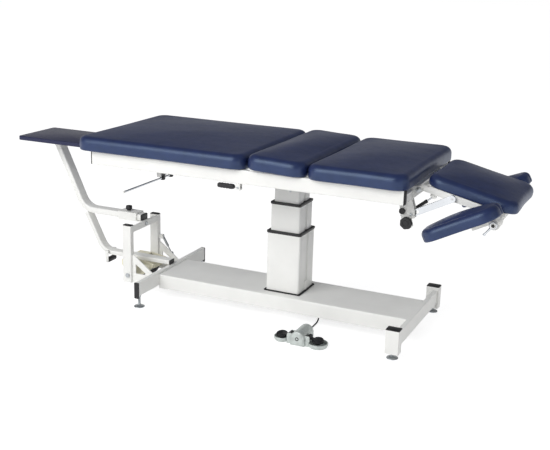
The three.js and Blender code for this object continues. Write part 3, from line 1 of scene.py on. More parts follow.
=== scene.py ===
"""Looks of the traction table: upholstery, painted steel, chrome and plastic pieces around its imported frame."""
import json
import math

import bmesh
import bpy
import numpy as np
from mathutils import Matrix, Vector


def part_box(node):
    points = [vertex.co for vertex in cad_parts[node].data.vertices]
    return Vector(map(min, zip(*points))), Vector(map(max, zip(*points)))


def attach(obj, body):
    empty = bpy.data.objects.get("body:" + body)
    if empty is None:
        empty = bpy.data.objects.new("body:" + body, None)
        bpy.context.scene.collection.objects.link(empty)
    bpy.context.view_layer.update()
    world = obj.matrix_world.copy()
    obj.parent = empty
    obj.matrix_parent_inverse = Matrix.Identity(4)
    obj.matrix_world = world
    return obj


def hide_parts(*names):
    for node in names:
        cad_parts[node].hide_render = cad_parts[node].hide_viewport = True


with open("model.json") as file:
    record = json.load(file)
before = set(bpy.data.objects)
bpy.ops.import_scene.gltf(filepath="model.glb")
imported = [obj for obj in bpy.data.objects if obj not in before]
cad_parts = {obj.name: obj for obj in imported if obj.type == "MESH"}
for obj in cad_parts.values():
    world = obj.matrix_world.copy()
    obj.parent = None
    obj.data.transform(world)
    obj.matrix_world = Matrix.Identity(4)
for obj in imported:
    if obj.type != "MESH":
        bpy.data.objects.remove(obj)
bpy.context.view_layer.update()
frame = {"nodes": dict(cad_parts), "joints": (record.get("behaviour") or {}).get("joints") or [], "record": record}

bl_info = {
    "name": "Traction table",
    "version": (1, 0, 0),
    "blender": (4, 5, 0),
    "location": "View3D > Sidebar > Traction table",
    "description": "Builds the visible pieces and the finishes of a traction table",
    "category": "Object",
}

JOINTS = {joint["name"]: joint for joint in frame["joints"]}
BODY_OF = {node: body for body, nodes in frame["record"]["behaviour"]["bodies"].items() for node in nodes}
SLOT_OF = {part["node"]: part["material_slot"] for part in frame["record"]["subparts"]}
FULL_TURN = 2 * math.pi

# Lengths are in metres. Pieces are worked out from the foot of the column's axis, and carried there at the end.
COLUMN_X = (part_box("column_lower")[0].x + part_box("column_lower")[1].x) / 2
COLUMN_FOOT = np.array([COLUMN_X, 0.0, 0.0])
HINGE = np.array(JOINTS["head_tilt"]["pos_m"]) - COLUMN_FOOT
HEAD_SLOPE = math.radians(13)  # of the head section, down to the head end
ARMREST_SLOPE = math.radians(-27)  # of the armrests, up to the head end
LEVER_SLOPE = math.radians(-52)  # of the armrests' clamp levers
MID_SLOPE = math.radians(2.5)  # of the middle cushion
PEDAL_LEAN = math.radians(14)  # of a pedal's disc, whose back is raised
SIDES = {"near": -1, "far": 1}
SPINDLE = (0.311, 0.006)  # of the armrests, along the head section and above its hinge


def tone(code):
    """A colour in linear light from its usual six-figure code."""
    channels = [int(code[i : i + 2], 16) / 255 for i in (0, 2, 4)]
    return tuple(c / 12.92 if c <= 0.04045 else ((c + 0.055) / 1.055) ** 2.4 for c in channels)


def length(name, description, default):
    return bpy.props.FloatProperty(name=name, description=description, default=default, unit="LENGTH", precision=4)


def amount(name, description, default, unit="NONE"):
    return bpy.props.FloatProperty(name=name, description=description, default=default, min=0, unit=unit)


def colour(name, description, code):
    return bpy.props.FloatVectorProperty(
        name=name, description=description, default=tone(code), subtype="COLOR", min=0, max=1
    )


class TableSizes(bpy.types.PropertyGroup):
    corner: length("Cushion corner", "Radius of the corners of a cushion in plan", 0.055)
    armrest_corner: length("Armrest corner", "Radius of the corners of an armrest in plan", 0.062)
    roll: length("Rolled edge", "Radius of the rolled upper edge of a cushion", 0.030)
    crown: length("Crown", "Rise of a cushion from its edge to its middle", 0.012)
    draw_in: length("Drawn-in side", "How far a side pulls in between its corners", 0.003)
    pleat: length("Corner pleat", "Depth of the gathers round a cushion's corners", 0.0007)
    steel_edge: length("Steel edge", "Radius of the edges of painted steel", 0.0014)
    plastic_edge: length("Plastic edge", "Radius of the edges of caps and collars", 0.0012)
    groove: length("Guide groove", "Depth of the grooves down the column's stages", 0.005)


class TableFinishes(bpy.types.PropertyGroup):
    vinyl: colour("Vinyl", "Upholstery", "1b2650")
    paint: colour("Paint", "Powder coat of the frames", "f1f1ee")
    cream: colour("Cream paint", "Plates of the transport wheels", "e9e5cf")
    plastic: colour("Plastic", "Caps, collars and knobs", "17171a")
    rubber: colour("Rubber", "Wheels, gasket and lead", "1c1c1e")
    chrome: colour("Chrome", "Plated bars and levers", "d4d7db")
    zinc: colour("Zinc", "Plated feet, screws and axles", "b9bdc0")
    casting: colour("Casting", "Body of the foot control", "c6ccc9")
    housing: colour("Housing", "Motor and control box", "8b9093")
    board: colour("Board", "Laminate of the traction shelf", "1e2244")


class StageSettings(bpy.types.PropertyGroup):
    floor: colour("Floor", "Colour of the floor", "ececec")
    key: amount("Key lamp", "Power of the key lamp in watts", 200, "POWER")
    fill: amount("Fill lamp", "Power of the fill lamp in watts", 14, "POWER")
    sky: amount("Sky", "Strength of the light from all round", 0.5)
    ceiling: amount("Ceiling", "How bright the studio's ceiling looks in reflections", 0.17)


def sizes():
    return bpy.context.scene.traction_table_sizes


def finishes():
    return bpy.context.scene.traction_table_finishes


# Profiles and outlines: arrays of points in a plane.
def softened(points, radius, steps=5, closed=False):
    """The points of a line with its corners rounded.

    Each corner becomes a quadratic curve between two points on its legs, radius away from it at most."""
    corner = np.asarray(points, float)
    before = np.roll(corner, 1, axis=0) - corner
    after = np.roll(corner, -1, axis=0) - corner
    before_length = np.linalg.norm(before, axis=1, keepdims=True)
    after_length = np.linalg.norm(after, axis=1, keepdims=True)
    wanted = np.broadcast_to(np.asarray(radius, float).reshape(-1, 1), (len(corner), 1))
    reach = np.minimum(wanted, 0.45 * np.minimum(before_length, after_length))
    start = corner + before / np.maximum(before_length, 1e-9) * reach
    end = corner + after / np.maximum(after_length, 1e-9) * reach
    t = np.linspace(0, 1, steps)[None, :, None]
    curves = (1 - t) ** 2 * start[:, None] + 2 * t * (1 - t) * corner[:, None] + t**2 * end[:, None]
    if closed:
        return curves.reshape(-1, corner.shape[1])
    return np.vstack((corner[:1], curves[1:-1].reshape(-1, corner.shape[1]), corner[-1:]))


def corner_arcs(width, height, radius, steps):
    """The four round corners of a rectangle, in rows: quarter circles whose centres lie at the inner corners."""
    turn = (np.arange(4)[:, None] + np.linspace(0, 1, steps)) * math.pi / 2
    middle = np.array([[1, 1], [-1, 1], [-1, -1], [1, -1]]) * (np.array([width, height]) / 2 - radius)
    return middle[:, None] + radius * np.stack((np.cos(turn), np.sin(turn)), axis=-1)


def rounded_rectangle(width, height, radius, centre=(0, 0), steps=7):
    """A closed outline: the four round corners of a rectangle, one after the other."""
    return corner_arcs(width, height, radius, steps).reshape(-1, 2) + np.asarray(centre)


def hexagon(across, edge=0.0006):
    """The outline of a nut: six corners, at the half width over the cosine of thirty degrees."""
    turn = np.arange(6) * math.pi / 3
    reach = across / math.sqrt(3)
    return softened(np.stack((reach * np.cos(turn), reach * np.sin(turn)), axis=1), edge, 4, closed=True)


def inset(outline, depth):
    """A closed outline moved inwards along the normals of its points."""
    ahead = np.roll(outline, -1, axis=0) - np.roll(outline, 1, axis=0)
    normal = np.stack((ahead[:, 1], -ahead[:, 0]), axis=1)
    normal /= np.maximum(np.linalg.norm(normal, axis=1, keepdims=True), 1e-9)
    area = np.sum(outline[:, 0] * np.roll(outline[:, 1], -1) - np.roll(outline[:, 0], -1) * outline[:, 1])
    return outline - normal * depth * np.sign(area)


# Surfaces: each is a grid of points in rings, and is closed by its neighbours or by flat ends.
def surface(rings, closed_rows=False, capped=True):
    """The points of a grid of rings, and the corner numbers of its faces.

    Quads run round every ring and from ring to ring, and back to the first ring where the rows are closed."""
    rings = np.asarray(rings, float)
    rows, columns = rings.shape[:2]
    number = np.arange(rows * columns).reshape(rows, columns)
    index = np.vstack((number, number[:1])) if closed_rows else number
    index = np.hstack((index, index[:, :1]))
    quads = np.stack((index[:-1, :-1], index[:-1, 1:], index[1:, 1:], index[1:, :-1]), axis=-1)
    faces = [quads.reshape(-1, 4)]
    if capped and not closed_rows:
        faces += [number[:1, ::-1], number[-1:]]
    return rings.reshape(-1, 3), faces


def placed(shell, at=(0, 0, 0), slope=0.0, lean=0.0):
    """A shell moved to a place, after a lean about X that lifts its +Y side and a turn about Y that lowers its
    +X end by the slope."""
    points, faces = shell
    x, y, z = points.T
    y, z = y * math.cos(lean) - z * math.sin(lean), y * math.sin(lean) + z * math.cos(lean)
    x, z = x * math.cos(slope) + z * math.sin(slope), z * math.cos(slope) - x * math.sin(slope)
    return np.stack((x, y, z), axis=1) + np.asarray(at, float), faces


AXES = {"x": (2, 0, 1), "y": (0, 2, 1), "z": (0, 1, 2)}  # where a plane's two axes and its height go


def turned(profile, axis="z", sides=40, hollow=False, lobes=0, lobe_depth=0.0):
    """A turned form: the radius of each point of the profile is carried round the axis at its height.

    With lobes, the radius shrinks and grows with the cosine of so many turns, most at the widest point."""
    radius, height = np.asarray(profile, float).T
    turn = np.linspace(0, FULL_TURN, sides, endpoint=False)
    wave = lobe_depth * (np.cos(lobes * turn) - 1) if lobes else np.zeros(sides)
    share = (radius / radius.max()) ** 2
    reach = radius[:, None] * (1 + share[:, None] * wave)
    rings = np.stack((reach * np.cos(turn), reach * np.sin(turn), height[:, None] + 0 * turn), axis=-1)
    return surface(rings[..., AXES[axis]], closed_rows=hollow, capped=False)


def prism(outline, axis, low, high, edge=0.0, hole=None):
    """A form with one outline along an axis, with softened edges: its end rings are inset by the edge.

    With a hole, a second outline with as many points, the form is a tube whose rings close on themselves."""
    outline = np.asarray(outline, float)
    edge = min(edge, (high - low) / 3)
    turn = np.linspace(0, math.pi / 2, 4) if edge else np.zeros(1)
    depth = edge * (1 - np.sin(turn))
    rise = edge * (1 - np.cos(turn))
    levels = np.concatenate((low + rise, high - rise[::-1]))
    depths = np.concatenate((depth, depth[::-1]))
    rings = [np.column_stack((inset(outline, d), np.full(len(outline), z))) for d, z in zip(depths, levels)]
    if hole is not None:
        rings += [np.column_stack((hole, np.full(len(hole), z))) for z in (high, low)]
    return surface(np.array(rings)[..., AXES[axis]], closed_rows=hole is not None)


def bar(axis, radius, low, high, edge=0.0008, sides=40):
    """A round bar with softened ends."""
    return turned(softened([(0, low), (radius, low), (radius, high), (0, high)], edge), axis, sides)


def sleeve(axis, profile, edge, sides=40):
    """A hollow form: a closed profile with softened corners carried round an axis."""
    return turned(softened(profile, edge, closed=True), axis, sides, hollow=True)


def mirrored(profile):
    """Half a profile, and the same points back again on the other side of height nought."""
    return np.vstack((profile, np.array(profile[::-1]) * (1, -1)))


def ring(axis, radius, hole, low, high, edge=0.0006, sides=48):
    """A rectangle with softened corners carried round an axis."""
    return sleeve(axis, [(hole, low), (radius, low), (radius, high), (hole, high)], edge, sides)


def block(low, high, edge):
    """A block between two corners, with round edges along Z and softened ends."""
    low, high = np.asarray(low, float), np.asarray(high, float)
    width, depth, _ = high - low
    return prism(rounded_rectangle(width, depth, edge, (low[:2] + high[:2]) / 2, 4), "z", low[2], high[2], edge)


def plate(points, low, high, corner, edge=0.0008):
    """A plate in the long plane, from one place along Y to another, with round corners."""
    return prism(softened(points, corner, 6, closed=True), "y", low, high, edge)


def button(axis, radius, rise):
    """A screw's head: a dome with a socket, on a level face. A negative rise faces the other way."""
    profile = [(0, 0), (1, 0), (1, 0.3), (0.93, 0.6), (0.75, 0.88), (0.5, 1), (0.42, 1), (0.38, 0.4), (0, 0.4)]
    return turned(np.array(profile) * (radius, rise), axis, 24)


def screwed_stem(radius, low, high, pitch):
    """A stem whose radius falls by a tenth and comes back once every pitch."""
    height = np.arange(low, high, pitch / 4)
    reach = radius * (0.95 + 0.05 * np.cos(FULL_TURN * (height - low) / pitch))
    return turned(np.vstack(((0, low), np.column_stack((reach, height)), (0, height[-1]))), sides=32)


def swept(section, line, level=None):
    """A section carried along a line in the long plane: its first axis is Y, its second the line's normal.

    With a level, the points of the first end slide along the line to that height."""
    line = np.asarray(line, float)
    along = np.gradient(line, axis=0)
    along /= np.linalg.norm(along, axis=1, keepdims=True)
    normal = np.stack((-along[:, 1], along[:, 0]), axis=1)
    x = line[:, :1] + normal[:, :1] * section[:, 1]
    z = line[:, 1:] + normal[:, 1:] * section[:, 1]
    rings = np.stack((x, np.broadcast_to(section[:, 0], x.shape), z), axis=-1)
    if level is not None:
        slide = (level - rings[0, :, 2]) / along[0, 1]
        rings[0, :, 0] += slide * along[0, 0]
        rings[0, :, 2] = level
    return surface(rings)


def tube(path, radius, sides=24):
    """A round section carried along a path that stays in one upright plane.

    Its centre lies on the path, and it stands square to it; the radius may change from point to point."""
    path = np.asarray(path, float)
    along = np.gradient(path, axis=0)
    along /= np.linalg.norm(along, axis=1, keepdims=True)
    plan = path[-1, :2] - path[0, :2]
    side = np.array([plan[1], -plan[0], 0]) / np.hypot(*plan)
    lift = np.cross(side, along)
    turn = np.linspace(0, FULL_TURN, sides, endpoint=False)[None, :, None]
    reach = np.broadcast_to(radius, len(path))[:, None, None]
    return surface(path[:, None] + reach * (np.cos(turn) * side + np.sin(turn) * lift[:, None]))


def smooth_route(points, steps):
    """A centripetal curve through the points.

    Each span is a cubic in t, and its end slopes come from the spans beside it, each weighted by the square root
    of its length."""
    points = np.asarray(points, float)
    held = np.vstack((2 * points[0] - points[1], points, 2 * points[-1] - points[-2]))
    p0, p1, p2, p3 = held[:-3], held[1:-2], held[2:-1], held[3:]
    root = np.sqrt(np.linalg.norm(np.diff(held, axis=0), axis=1))[:, None]
    a, b, c = root[:-2], root[1:-1], root[2:]
    start = ((p1 - p0) / a - (p2 - p0) / (a + b) + (p2 - p1) / b) * b
    end = ((p2 - p1) / b - (p3 - p1) / (b + c) + (p3 - p2) / c) * b
    t = np.linspace(0, 1, steps, endpoint=False)[None, :, None]
    p1, p2, start, end = p1[:, None], p2[:, None], start[:, None], end[:, None]
    spans = (2 * t**3 - 3 * t**2 + 1) * p1 + (t**3 - 2 * t**2 + t) * start
    spans = spans + (3 * t**2 - 2 * t**3) * p2 + (t**3 - t**2) * end
    return np.vstack((spans.reshape(-1, 3), points[-1:]))


def reach_out(sign, start, end):
    """Two distances from the middle on the side with that sign, as places from the lower to the higher."""
    return sorted((sign * start, sign * end))


def sloped(origin, x, z, slope, y=0.0):
    """A place that lies x along and z above a sloping frame with that origin."""
    return (
        origin[0] + x * math.cos(slope) + z * math.sin(slope),
        origin[1] + y,
        origin[2] - x * math.sin(slope) + z * math.cos(slope),
    )


# Finishes.
class Nodes:
    """A node tree, with one call for a node and its settings."""

    def __init__(self, tree):
        self.tree = tree

    def add(self, kind, inputs=None, **settings):
        node = self.tree.nodes.new(kind)
        for key, value in settings.items():
            setattr(node, key, value)
        for key, value in (inputs or {}).items():
            self.feed(node.inputs[key], value)
        return node

    def feed(self, socket, value):
        if isinstance(value, bpy.types.NodeSocket):
            self.tree.links.new(value, socket)
        else:
            socket.default_value = value

    def mixed(self, factor, first, second):
        return self.add("ShaderNodeMixShader", {0: factor, 1: first, 2: second}).outputs[0]

    def for_rays(self, *kinds):
        """One for a ray of those kinds, and nought for the others: the largest of the light path's outputs."""
        path = self.add("ShaderNodeLightPath")
        value = path.outputs[f"Is {kinds[0]} Ray"]
        for kind in kinds[1:]:
            inputs = {0: value, 1: path.outputs[f"Is {kind} Ray"]}
            value = self.add("ShaderNodeMath", inputs, operation="MAXIMUM").outputs[0]
        return value


class Finish(Nodes):
    """A material's node tree, with the patterns that finishes are made of."""

    def __init__(self, name):
        self.material = bpy.data.materials.new(name)
        self.material.use_nodes = True
        super().__init__(self.material.node_tree)
        self.shader = self.tree.nodes["Principled BSDF"]
        self.output = self.tree.nodes["Material Output"]
        self.place = self.add("ShaderNodeTexCoord").outputs["Object"]

    def noise(self, scale, detail=3, roughness=0.5):
        inputs = {"Vector": self.place, "Scale": scale, "Detail": detail, "Roughness": roughness}
        return self.add("ShaderNodeTexNoise", inputs).outputs["Fac"]

    def cells(self, scale):
        inputs = {"Vector": self.place, "Scale": scale}
        return self.add("ShaderNodeTexVoronoi", inputs, feature="SMOOTH_F1").outputs["Distance"]

    def spread(self, value, low, high):
        """A value from 0 to 1 carried to the range from low to high."""
        return self.add("ShaderNodeMapRange", {"Value": value, "To Min": low, "To Max": high}).outputs["Result"]

    def shades(self, value, base, dark, light):
        """A base colour, darker by one factor where a value is low and lighter by another where it is high."""
        ramp = self.add("ShaderNodeValToRGB", {"Fac": value})
        for element, position, factor in zip(ramp.color_ramp.elements, (0.3, 0.7), (dark, light)):
            element.position = position
            element.color = (*shade(base, factor), 1)
        return ramp.outputs["Color"]

    def bump(self, height, distance, strength=1.0, normal=None):
        inputs = {"Height": height, "Distance": distance, "Strength": strength}
        if normal is not None:
            inputs["Normal"] = normal
        return self.add("ShaderNodeBump", inputs).outputs["Normal"]

    def round_edges(self, radius):
        return self.add("ShaderNodeBevel", {"Radius": radius}, samples=6).outputs["Normal"]

    def finish(self, **sockets):
        for name, value in sockets.items():
            self.feed(self.shader.inputs[name.replace("_", " ").title().replace("Ior", "IOR")], value)
        return self.material


def shade(colour_value, factor):
    return tuple(min(1.0, c * factor) for c in colour_value)


def vinyl(name, base):
    """Upholstery vinyl: pressed grain whose fine cells stretch in patches, over the slack of the padding."""
    nodes = Finish(name)
    patches = nodes.spread(nodes.noise(38, 2), 0.55, 1.0)
    grain = nodes.add("ShaderNodeMath", {0: nodes.cells(1150), 1: patches}, operation="MULTIPLY").outputs["Value"]
    slack = nodes.bump(nodes.noise(13, 2), 0.0016)
    return nodes.finish(
        base_color=nodes.shades(nodes.noise(24, 4), base, 0.86, 1.16),
        roughness=nodes.spread(nodes.noise(60, 3), 0.36, 0.45),
        specular_ior_level=0.8,
        specular_tint=(0.62, 0.8, 1, 1),
        normal=nodes.bump(grain, 0.00012, 0.5, slack),
    )


def painted(name, base, edge, roughness=(0.3, 0.42)):
    """Powder coat: an even colour with faint clouds, and the fine orange peel of the sprayed coat."""
    nodes = Finish(name)
    return nodes.finish(
        base_color=nodes.shades(nodes.noise(9, 4), base, 0.965, 1.02),
        roughness=nodes.spread(nodes.noise(45, 3), *roughness),
        normal=nodes.bump(nodes.noise(900, 2), 0.00006, 0.6, nodes.round_edges(edge)),
    )


def moulded(name, base, edge, roughness=(0.42, 0.55), grain=700, depth=0.00008):
    """Moulded plastic or rubber: a fine stipple and a little dust in the roughness."""
    nodes = Finish(name)
    return nodes.finish(
        base_color=nodes.shades(nodes.noise(30, 3), base, 0.85, 1.2),
        roughness=nodes.spread(nodes.noise(80, 3), *roughness),
        normal=nodes.bump(nodes.noise(grain, 3), depth, 0.6, nodes.round_edges(edge)),
    )


def plated(name, base, edge, roughness, scratch=0.00003):
    """Plated steel: a mirror with faint polishing marks and a little haze."""
    nodes = Finish(name)
    return nodes.finish(
        base_color=nodes.shades(nodes.noise(18, 3), base, 0.93, 1.03),
        metallic=1.0,
        roughness=nodes.spread(nodes.noise(120, 4), *roughness),
        normal=nodes.bump(nodes.noise(420, 5, 0.7), scratch, 0.5, nodes.round_edges(edge)),
    )


def cast_metal(name, base):
    """Cast aluminium: grainy skin, and soft patches where it was handled."""
    nodes = Finish(name)
    return nodes.finish(
        base_color=nodes.shades(nodes.noise(70, 4), base, 0.85, 1.08),
        metallic=0.5,
        roughness=nodes.spread(nodes.noise(34, 3), 0.36, 0.55),
        normal=nodes.bump(nodes.noise(520, 4, 0.65), 0.00022, 0.8, nodes.round_edges(0.0012)),
    )


def laminate(name, base):
    """Pressed laminate: a dense pebble, with small light flecks."""
    nodes = Finish(name)
    return nodes.finish(
        base_color=nodes.shades(nodes.noise(330, 5, 0.7), base, 0.75, 1.35),
        roughness=nodes.spread(nodes.noise(90, 3), 0.3, 0.42),
        specular_ior_level=0.4,
        normal=nodes.bump(nodes.cells(620), 0.00015, 0.7, nodes.round_edges(0.001)),
    )


FINISHES = {}


def make_finish(slot):
    """The material of a slot: its maker is given the slot's name, its colour and what the table adds."""
    colours, steel, plastic = finishes(), sizes().steel_edge, sizes().plastic_edge
    maker, base, *rest = {
        "white_powder_coat": (painted, colours.paint, steel),
        "cream_plate": (painted, colours.cream, steel, (0.4, 0.5)),
        "grey_housing": (painted, colours.housing, steel, (0.45, 0.55)),
        "black_plastic": (moulded, colours.plastic, plastic),
        "black_rubber": (moulded, colours.rubber, plastic, (0.6, 0.75), 500, 0.00012),
        "chrome_plate": (plated, colours.chrome, 0.0005, (0.08, 0.16)),
        "zinc_steel": (plated, colours.zinc, 0.0006, (0.3, 0.42), 0.00008),
        "cast_aluminium": (cast_metal, colours.casting),
        "navy_vinyl": (vinyl, colours.vinyl),
        "navy_laminate": (laminate, colours.board),
    }[slot]
    return maker(slot, tuple(base), *rest)


def finish_of(slot):
    """The finish with a slot's name, made the first time that it is asked for."""
    if slot not in FINISHES:
        FINISHES[slot] = make_finish(slot)
    return FINISHES[slot]


def make_piece(name, shells, slot, body, replaced=(), sharp=38):
    """One visible piece: its shells in one mesh, closed, with normals outwards, riding on a body of the frame.

    Edges that turn by more than sharp degrees stay sharp."""
    starts = np.cumsum([0] + [len(points) for points, _ in shells])
    faces = [row for (_, own), start in zip(shells, starts) for part in own for row in (part + start).tolist()]
    mesh = bpy.data.meshes.new(name)
    mesh.from_pydata(np.vstack([points for points, _ in shells]) + COLUMN_FOOT, [], faces)
    form = bmesh.new()
    form.from_mesh(mesh)
    bmesh.ops.remove_doubles(form, verts=form.verts, dist=2e-6)
    bmesh.ops.dissolve_degenerate(form, edges=form.edges, dist=1e-6)
    bmesh.ops.recalc_face_normals(form, faces=form.faces)
    form.to_mesh(mesh)
    form.free()
    mesh.shade_smooth()
    mesh.set_sharp_from_angle(angle=math.radians(sharp))
    mesh.materials.append(finish_of(slot))
    made = bpy.data.objects.new(name, mesh)
    bpy.context.scene.collection.objects.link(made)
    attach(made, body)
    if replaced:
        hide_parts(*replaced)
    return made


def stand_in(node, *shells, sharp=38):
    """The finished piece for a node of the frame, with that node's body and finish."""
    return make_piece(f"{node}_form", shells, SLOT_OF[node], BODY_OF[node], (node,), sharp)


class TRACTIONTABLE_OT_finishes(bpy.types.Operator):
    """Put the finishes on the parts of the frame that stay as they are"""

    bl_idname = "traction_table.finishes"
    bl_label = "Finishes"

    def execute(self, context):
        for name, node in frame["nodes"].items():
            node.data.materials.clear()
            node.data.materials.append(finish_of(SLOT_OF[name]))
        return {"FINISHED"}


class TRACTIONTABLE_OT_lead(bpy.types.Operator):
    """The foot control's lead over the floor to the control box, and its two strain reliefs"""

    bl_idname = "traction_table.lead"
    bl_label = "Control lead"

    start = np.array([0.172, -0.2374, 0.036])  # at the back of the foot control
    end = np.array([0.165, -0.062, 0.0404])  # at the gland of the control box
    floor = 0.0036  # height of its middle where it lies
    radius = 0.003
    near_gland = 0.6  # share of the way past which the lead rises to the gland
    relief_radius = 0.0052
    relief_points = {"control": 24, "gland": 20}  # how much of the path each relief covers
    rib = 0.00035
    # Shares of the way in plan, and of the rise from the floor to the nearer end.
    route = (
        (0, 1), (0.034, 1), (0.1, 0.933), (0.167, 0.75), (0.234, 0.5), (0.3, 0.25), (0.367, 0.067), (0.434, 0),
        (0.55, 0), (0.69, 0), (0.79, 0.003), (0.855, 0.035), (0.914, 0.136), (0.961, 0.326), (0.99, 0.58),
        (1, 0.83), (1, 1),
    )

    def execute(self, context):
        share, rise = np.array(self.route).T[..., None]
        points = self.start + (self.end - self.start) * share
        top = np.where(share < self.near_gland, self.start[2], self.end[2])
        points[:, 2:] = self.floor + (top - self.floor) * rise
        path = smooth_route(points, 12)
        lead = stand_in("control_lead", tube(path, self.radius), sharp=80)
        run = np.linalg.norm(np.diff(path, axis=0), axis=1)
        self.make_relief("control", path, run)
        self.make_relief("gland", path[::-1], run[::-1])
        return {"FINISHED"}

    def make_relief(self, end, path, run):
        """A ribbed sleeve round the lead's first run: its radius falls evenly, and six waves make its ribs."""
        path = path[: self.relief_points[end]]
        along = np.concatenate(([0], np.cumsum(run[: len(path) - 1])))
        fine = np.linspace(0, 1, 61)
        points = np.stack([np.interp(fine, along / along[-1], axis) for axis in path.T], axis=1)
        fall = (self.radius * 1.12 - self.relief_radius) * fine
        radius = self.relief_radius + fall + self.rib * np.cos(FULL_TURN * 6 * fine)
        make_piece(f"lead_relief_{end}", [tube(points, radius, 32)], "black_rubber", "base", sharp=60)


# Cushions.
CORNER_STEPS, SIDE_STEPS = 13, 18  # points of an outline round each corner and along each side


def cushion_outline(half_x, half_y, corner, draw_in):
    """Round corners joined by sides that pull in between them by the square of a sine."""
    arcs = corner_arcs(2 * half_x, 2 * half_y, corner, CORNER_STEPS)
    share = np.linspace(0, 1, SIDE_STEPS + 2)[1:-1]
    start, end = arcs[:, -1:], np.roll(arcs[:, 0], -1, axis=0)[:, None]
    outward = np.array([[0, 1], [-1, 0], [0, -1], [1, 0]])[:, None]
    pull = draw_in * np.sin(math.pi * share) ** 2
    lines = start + (end - start) * share[:, None] - outward * pull[:, None]
    return np.concatenate((arcs, lines), axis=1).reshape(-1, 2)


def corner_gathers(folds=4):
    """For each point of an outline, how strongly the cover gathers there: a few waves round each corner."""
    share = np.linspace(0, 1, CORNER_STEPS)
    arc = np.sin(math.pi * share) ** 2 * np.cos(FULL_TURN * folds * share)
    return np.tile(np.concatenate((arc, np.zeros(SIDE_STEPS))), 4)


def cushion(size_x, size_y, thickness, corner, roll, fullness=0.9, ripple=0.00035):
    """A closed cushion with its underside at z = 0, on two parameters: round the outline, and from the
    middle of the underside over the edge to the middle of the top.

    The side is tucked in at its foot and rolls over on a quarter of a superellipse, whose fullness is the power
    of its sine and cosine. The top rises to the crown as a product of two parabolas, one along X and one along Y.
    Slow waves as high as the ripple keep the top from being geometric."""
    form = sizes()
    tuck = roll / 6
    turn = np.linspace(0, math.pi / 2, 12)
    foot = np.linspace(0, math.pi / 2, 6)
    depth = np.concatenate((tuck * (1 - np.sin(foot)), roll * (1 - np.cos(turn) ** fullness)))
    height = np.concatenate((tuck * 1.5 * (1 - np.cos(foot)), thickness - roll * (1 - np.sin(turn) ** fullness)))
    half_x, half_y = size_x / 2, size_y / 2
    gathers = corner_gathers()
    rings = []
    for d, z in zip(depth, height):
        outline = cushion_outline(half_x - d, half_y - d, max(corner - d, corner / 4), form.draw_in)
        outward = inset(outline, -form.pleat) - outline
        outline = outline + outward * (gathers * math.sin(math.pi * min(z / thickness, 1)))[:, None]
        rings.append(np.column_stack((outline, np.full(len(outline), z))))
    rim = rings[-1][:, :2]
    for share in np.linspace(1, 0, 16)[1:]:
        x, y = (rim * share).T
        waves = np.sin(x * 19 + 0.6) * np.cos(y * 15) + np.sin(x * 9 - y * 23) * 0.6
        dome = (1 - (x / (half_x - roll)) ** 2) * (1 - (y / (half_y - roll)) ** 2)
        rise = form.crown * dome + ripple * (1 - share**6) * waves
        rings.append(np.column_stack((x, y, thickness + rise)))
    under = [np.column_stack((rings[0][:, :2] * share, np.zeros(len(rim)))) for share in (0, 0.5, 0.9)]
    return surface(np.array(under + rings), capped=False)


class TRACTIONTABLE_OT_cushions(bpy.types.Operator):
    """The leg, middle, chest and head cushions and the two armrest pads"""

    bl_idname = "traction_table.cushions"
    bl_label = "Cushions"

    thickness = 0.057
    middle_length, middle_gap = 0.244, 0.006
    head_size, head_thickness = (0.344, 0.380), 0.044
    head_place = (0.185, 0.021)  # of its middle, along the head section and above its hinge
    armrest_size, armrest_thickness = (0.295, 0.150), 0.046
    armrest_place = (-0.1145, 0.0203)  # of its middle, along the armrest and above its pivot
    armrest_roll = 0.85  # share of the other cushions' roll
    fill = 0.85

    def execute(self, context):
        form = sizes()
        for name in ("leg_cushion", "chest_cushion"):
            low, high = (np.array(corner) - COLUMN_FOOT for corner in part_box(name))
            at = ((low[0] + high[0]) / 2, 0, low[2])
            self.make(name, high[:2] - low[:2], self.thickness, form.corner, form.roll, at, 0)
        size = (self.middle_length, high[1] - low[1])
        end = (low[0] - self.middle_gap, 0, low[2])
        at = sloped(end, -self.middle_length / 2, 0, MID_SLOPE)
        self.make("mid_cushion", size, self.thickness, form.corner, form.roll, at, MID_SLOPE)
        at = sloped(HINGE, *self.head_place, HEAD_SLOPE)
        self.make("head_cushion", self.head_size, self.head_thickness, form.corner, form.roll, at, HEAD_SLOPE)
        for side in SIDES:
            pivot = np.array(JOINTS[f"armrest_{side}_tilt"]["pos_m"]) - COLUMN_FOOT
            at = sloped(pivot, *self.armrest_place, ARMREST_SLOPE)
            self.make(f"armrest_cushion_{side}", self.armrest_size, self.armrest_thickness, form.armrest_corner,
                      form.roll * self.armrest_roll, at, ARMREST_SLOPE)
        return {"FINISHED"}

    def make(self, node, size, thickness, corner, roll, at, slope):
        made = stand_in(node, placed(cushion(*size, thickness, corner, roll), at, slope), sharp=80)
        smooth = made.modifiers.new("smooth", "SUBSURF")
        smooth.levels = smooth.render_levels = 1


# The column.
def stage_outline(size_x, size_y, groove, depth=0.0):
    """A stage's section: a rectangle with round corners, and a groove of a given depth down its two end faces,
    whose floor is a little narrower than its mouth. The whole outline may lie some depth inside the rectangle."""
    x, y = size_x / 2 - depth, size_y / 2 - depth
    half, floor = 0.012 - depth / 2, x - groove
    foot = half - 0.001
    points = [(x, -y), (x, -half), (floor, -foot), (floor, foot), (x, half), (x, y),
              (-x, y), (-x, half), (-floor, foot), (-floor, -foot), (-x, -half), (-x, -y)]
    corner, lip = 0.009, 0.0009
    return softened(points, [corner, lip, lip, lip, lip, corner] * 2, 7, closed=True)


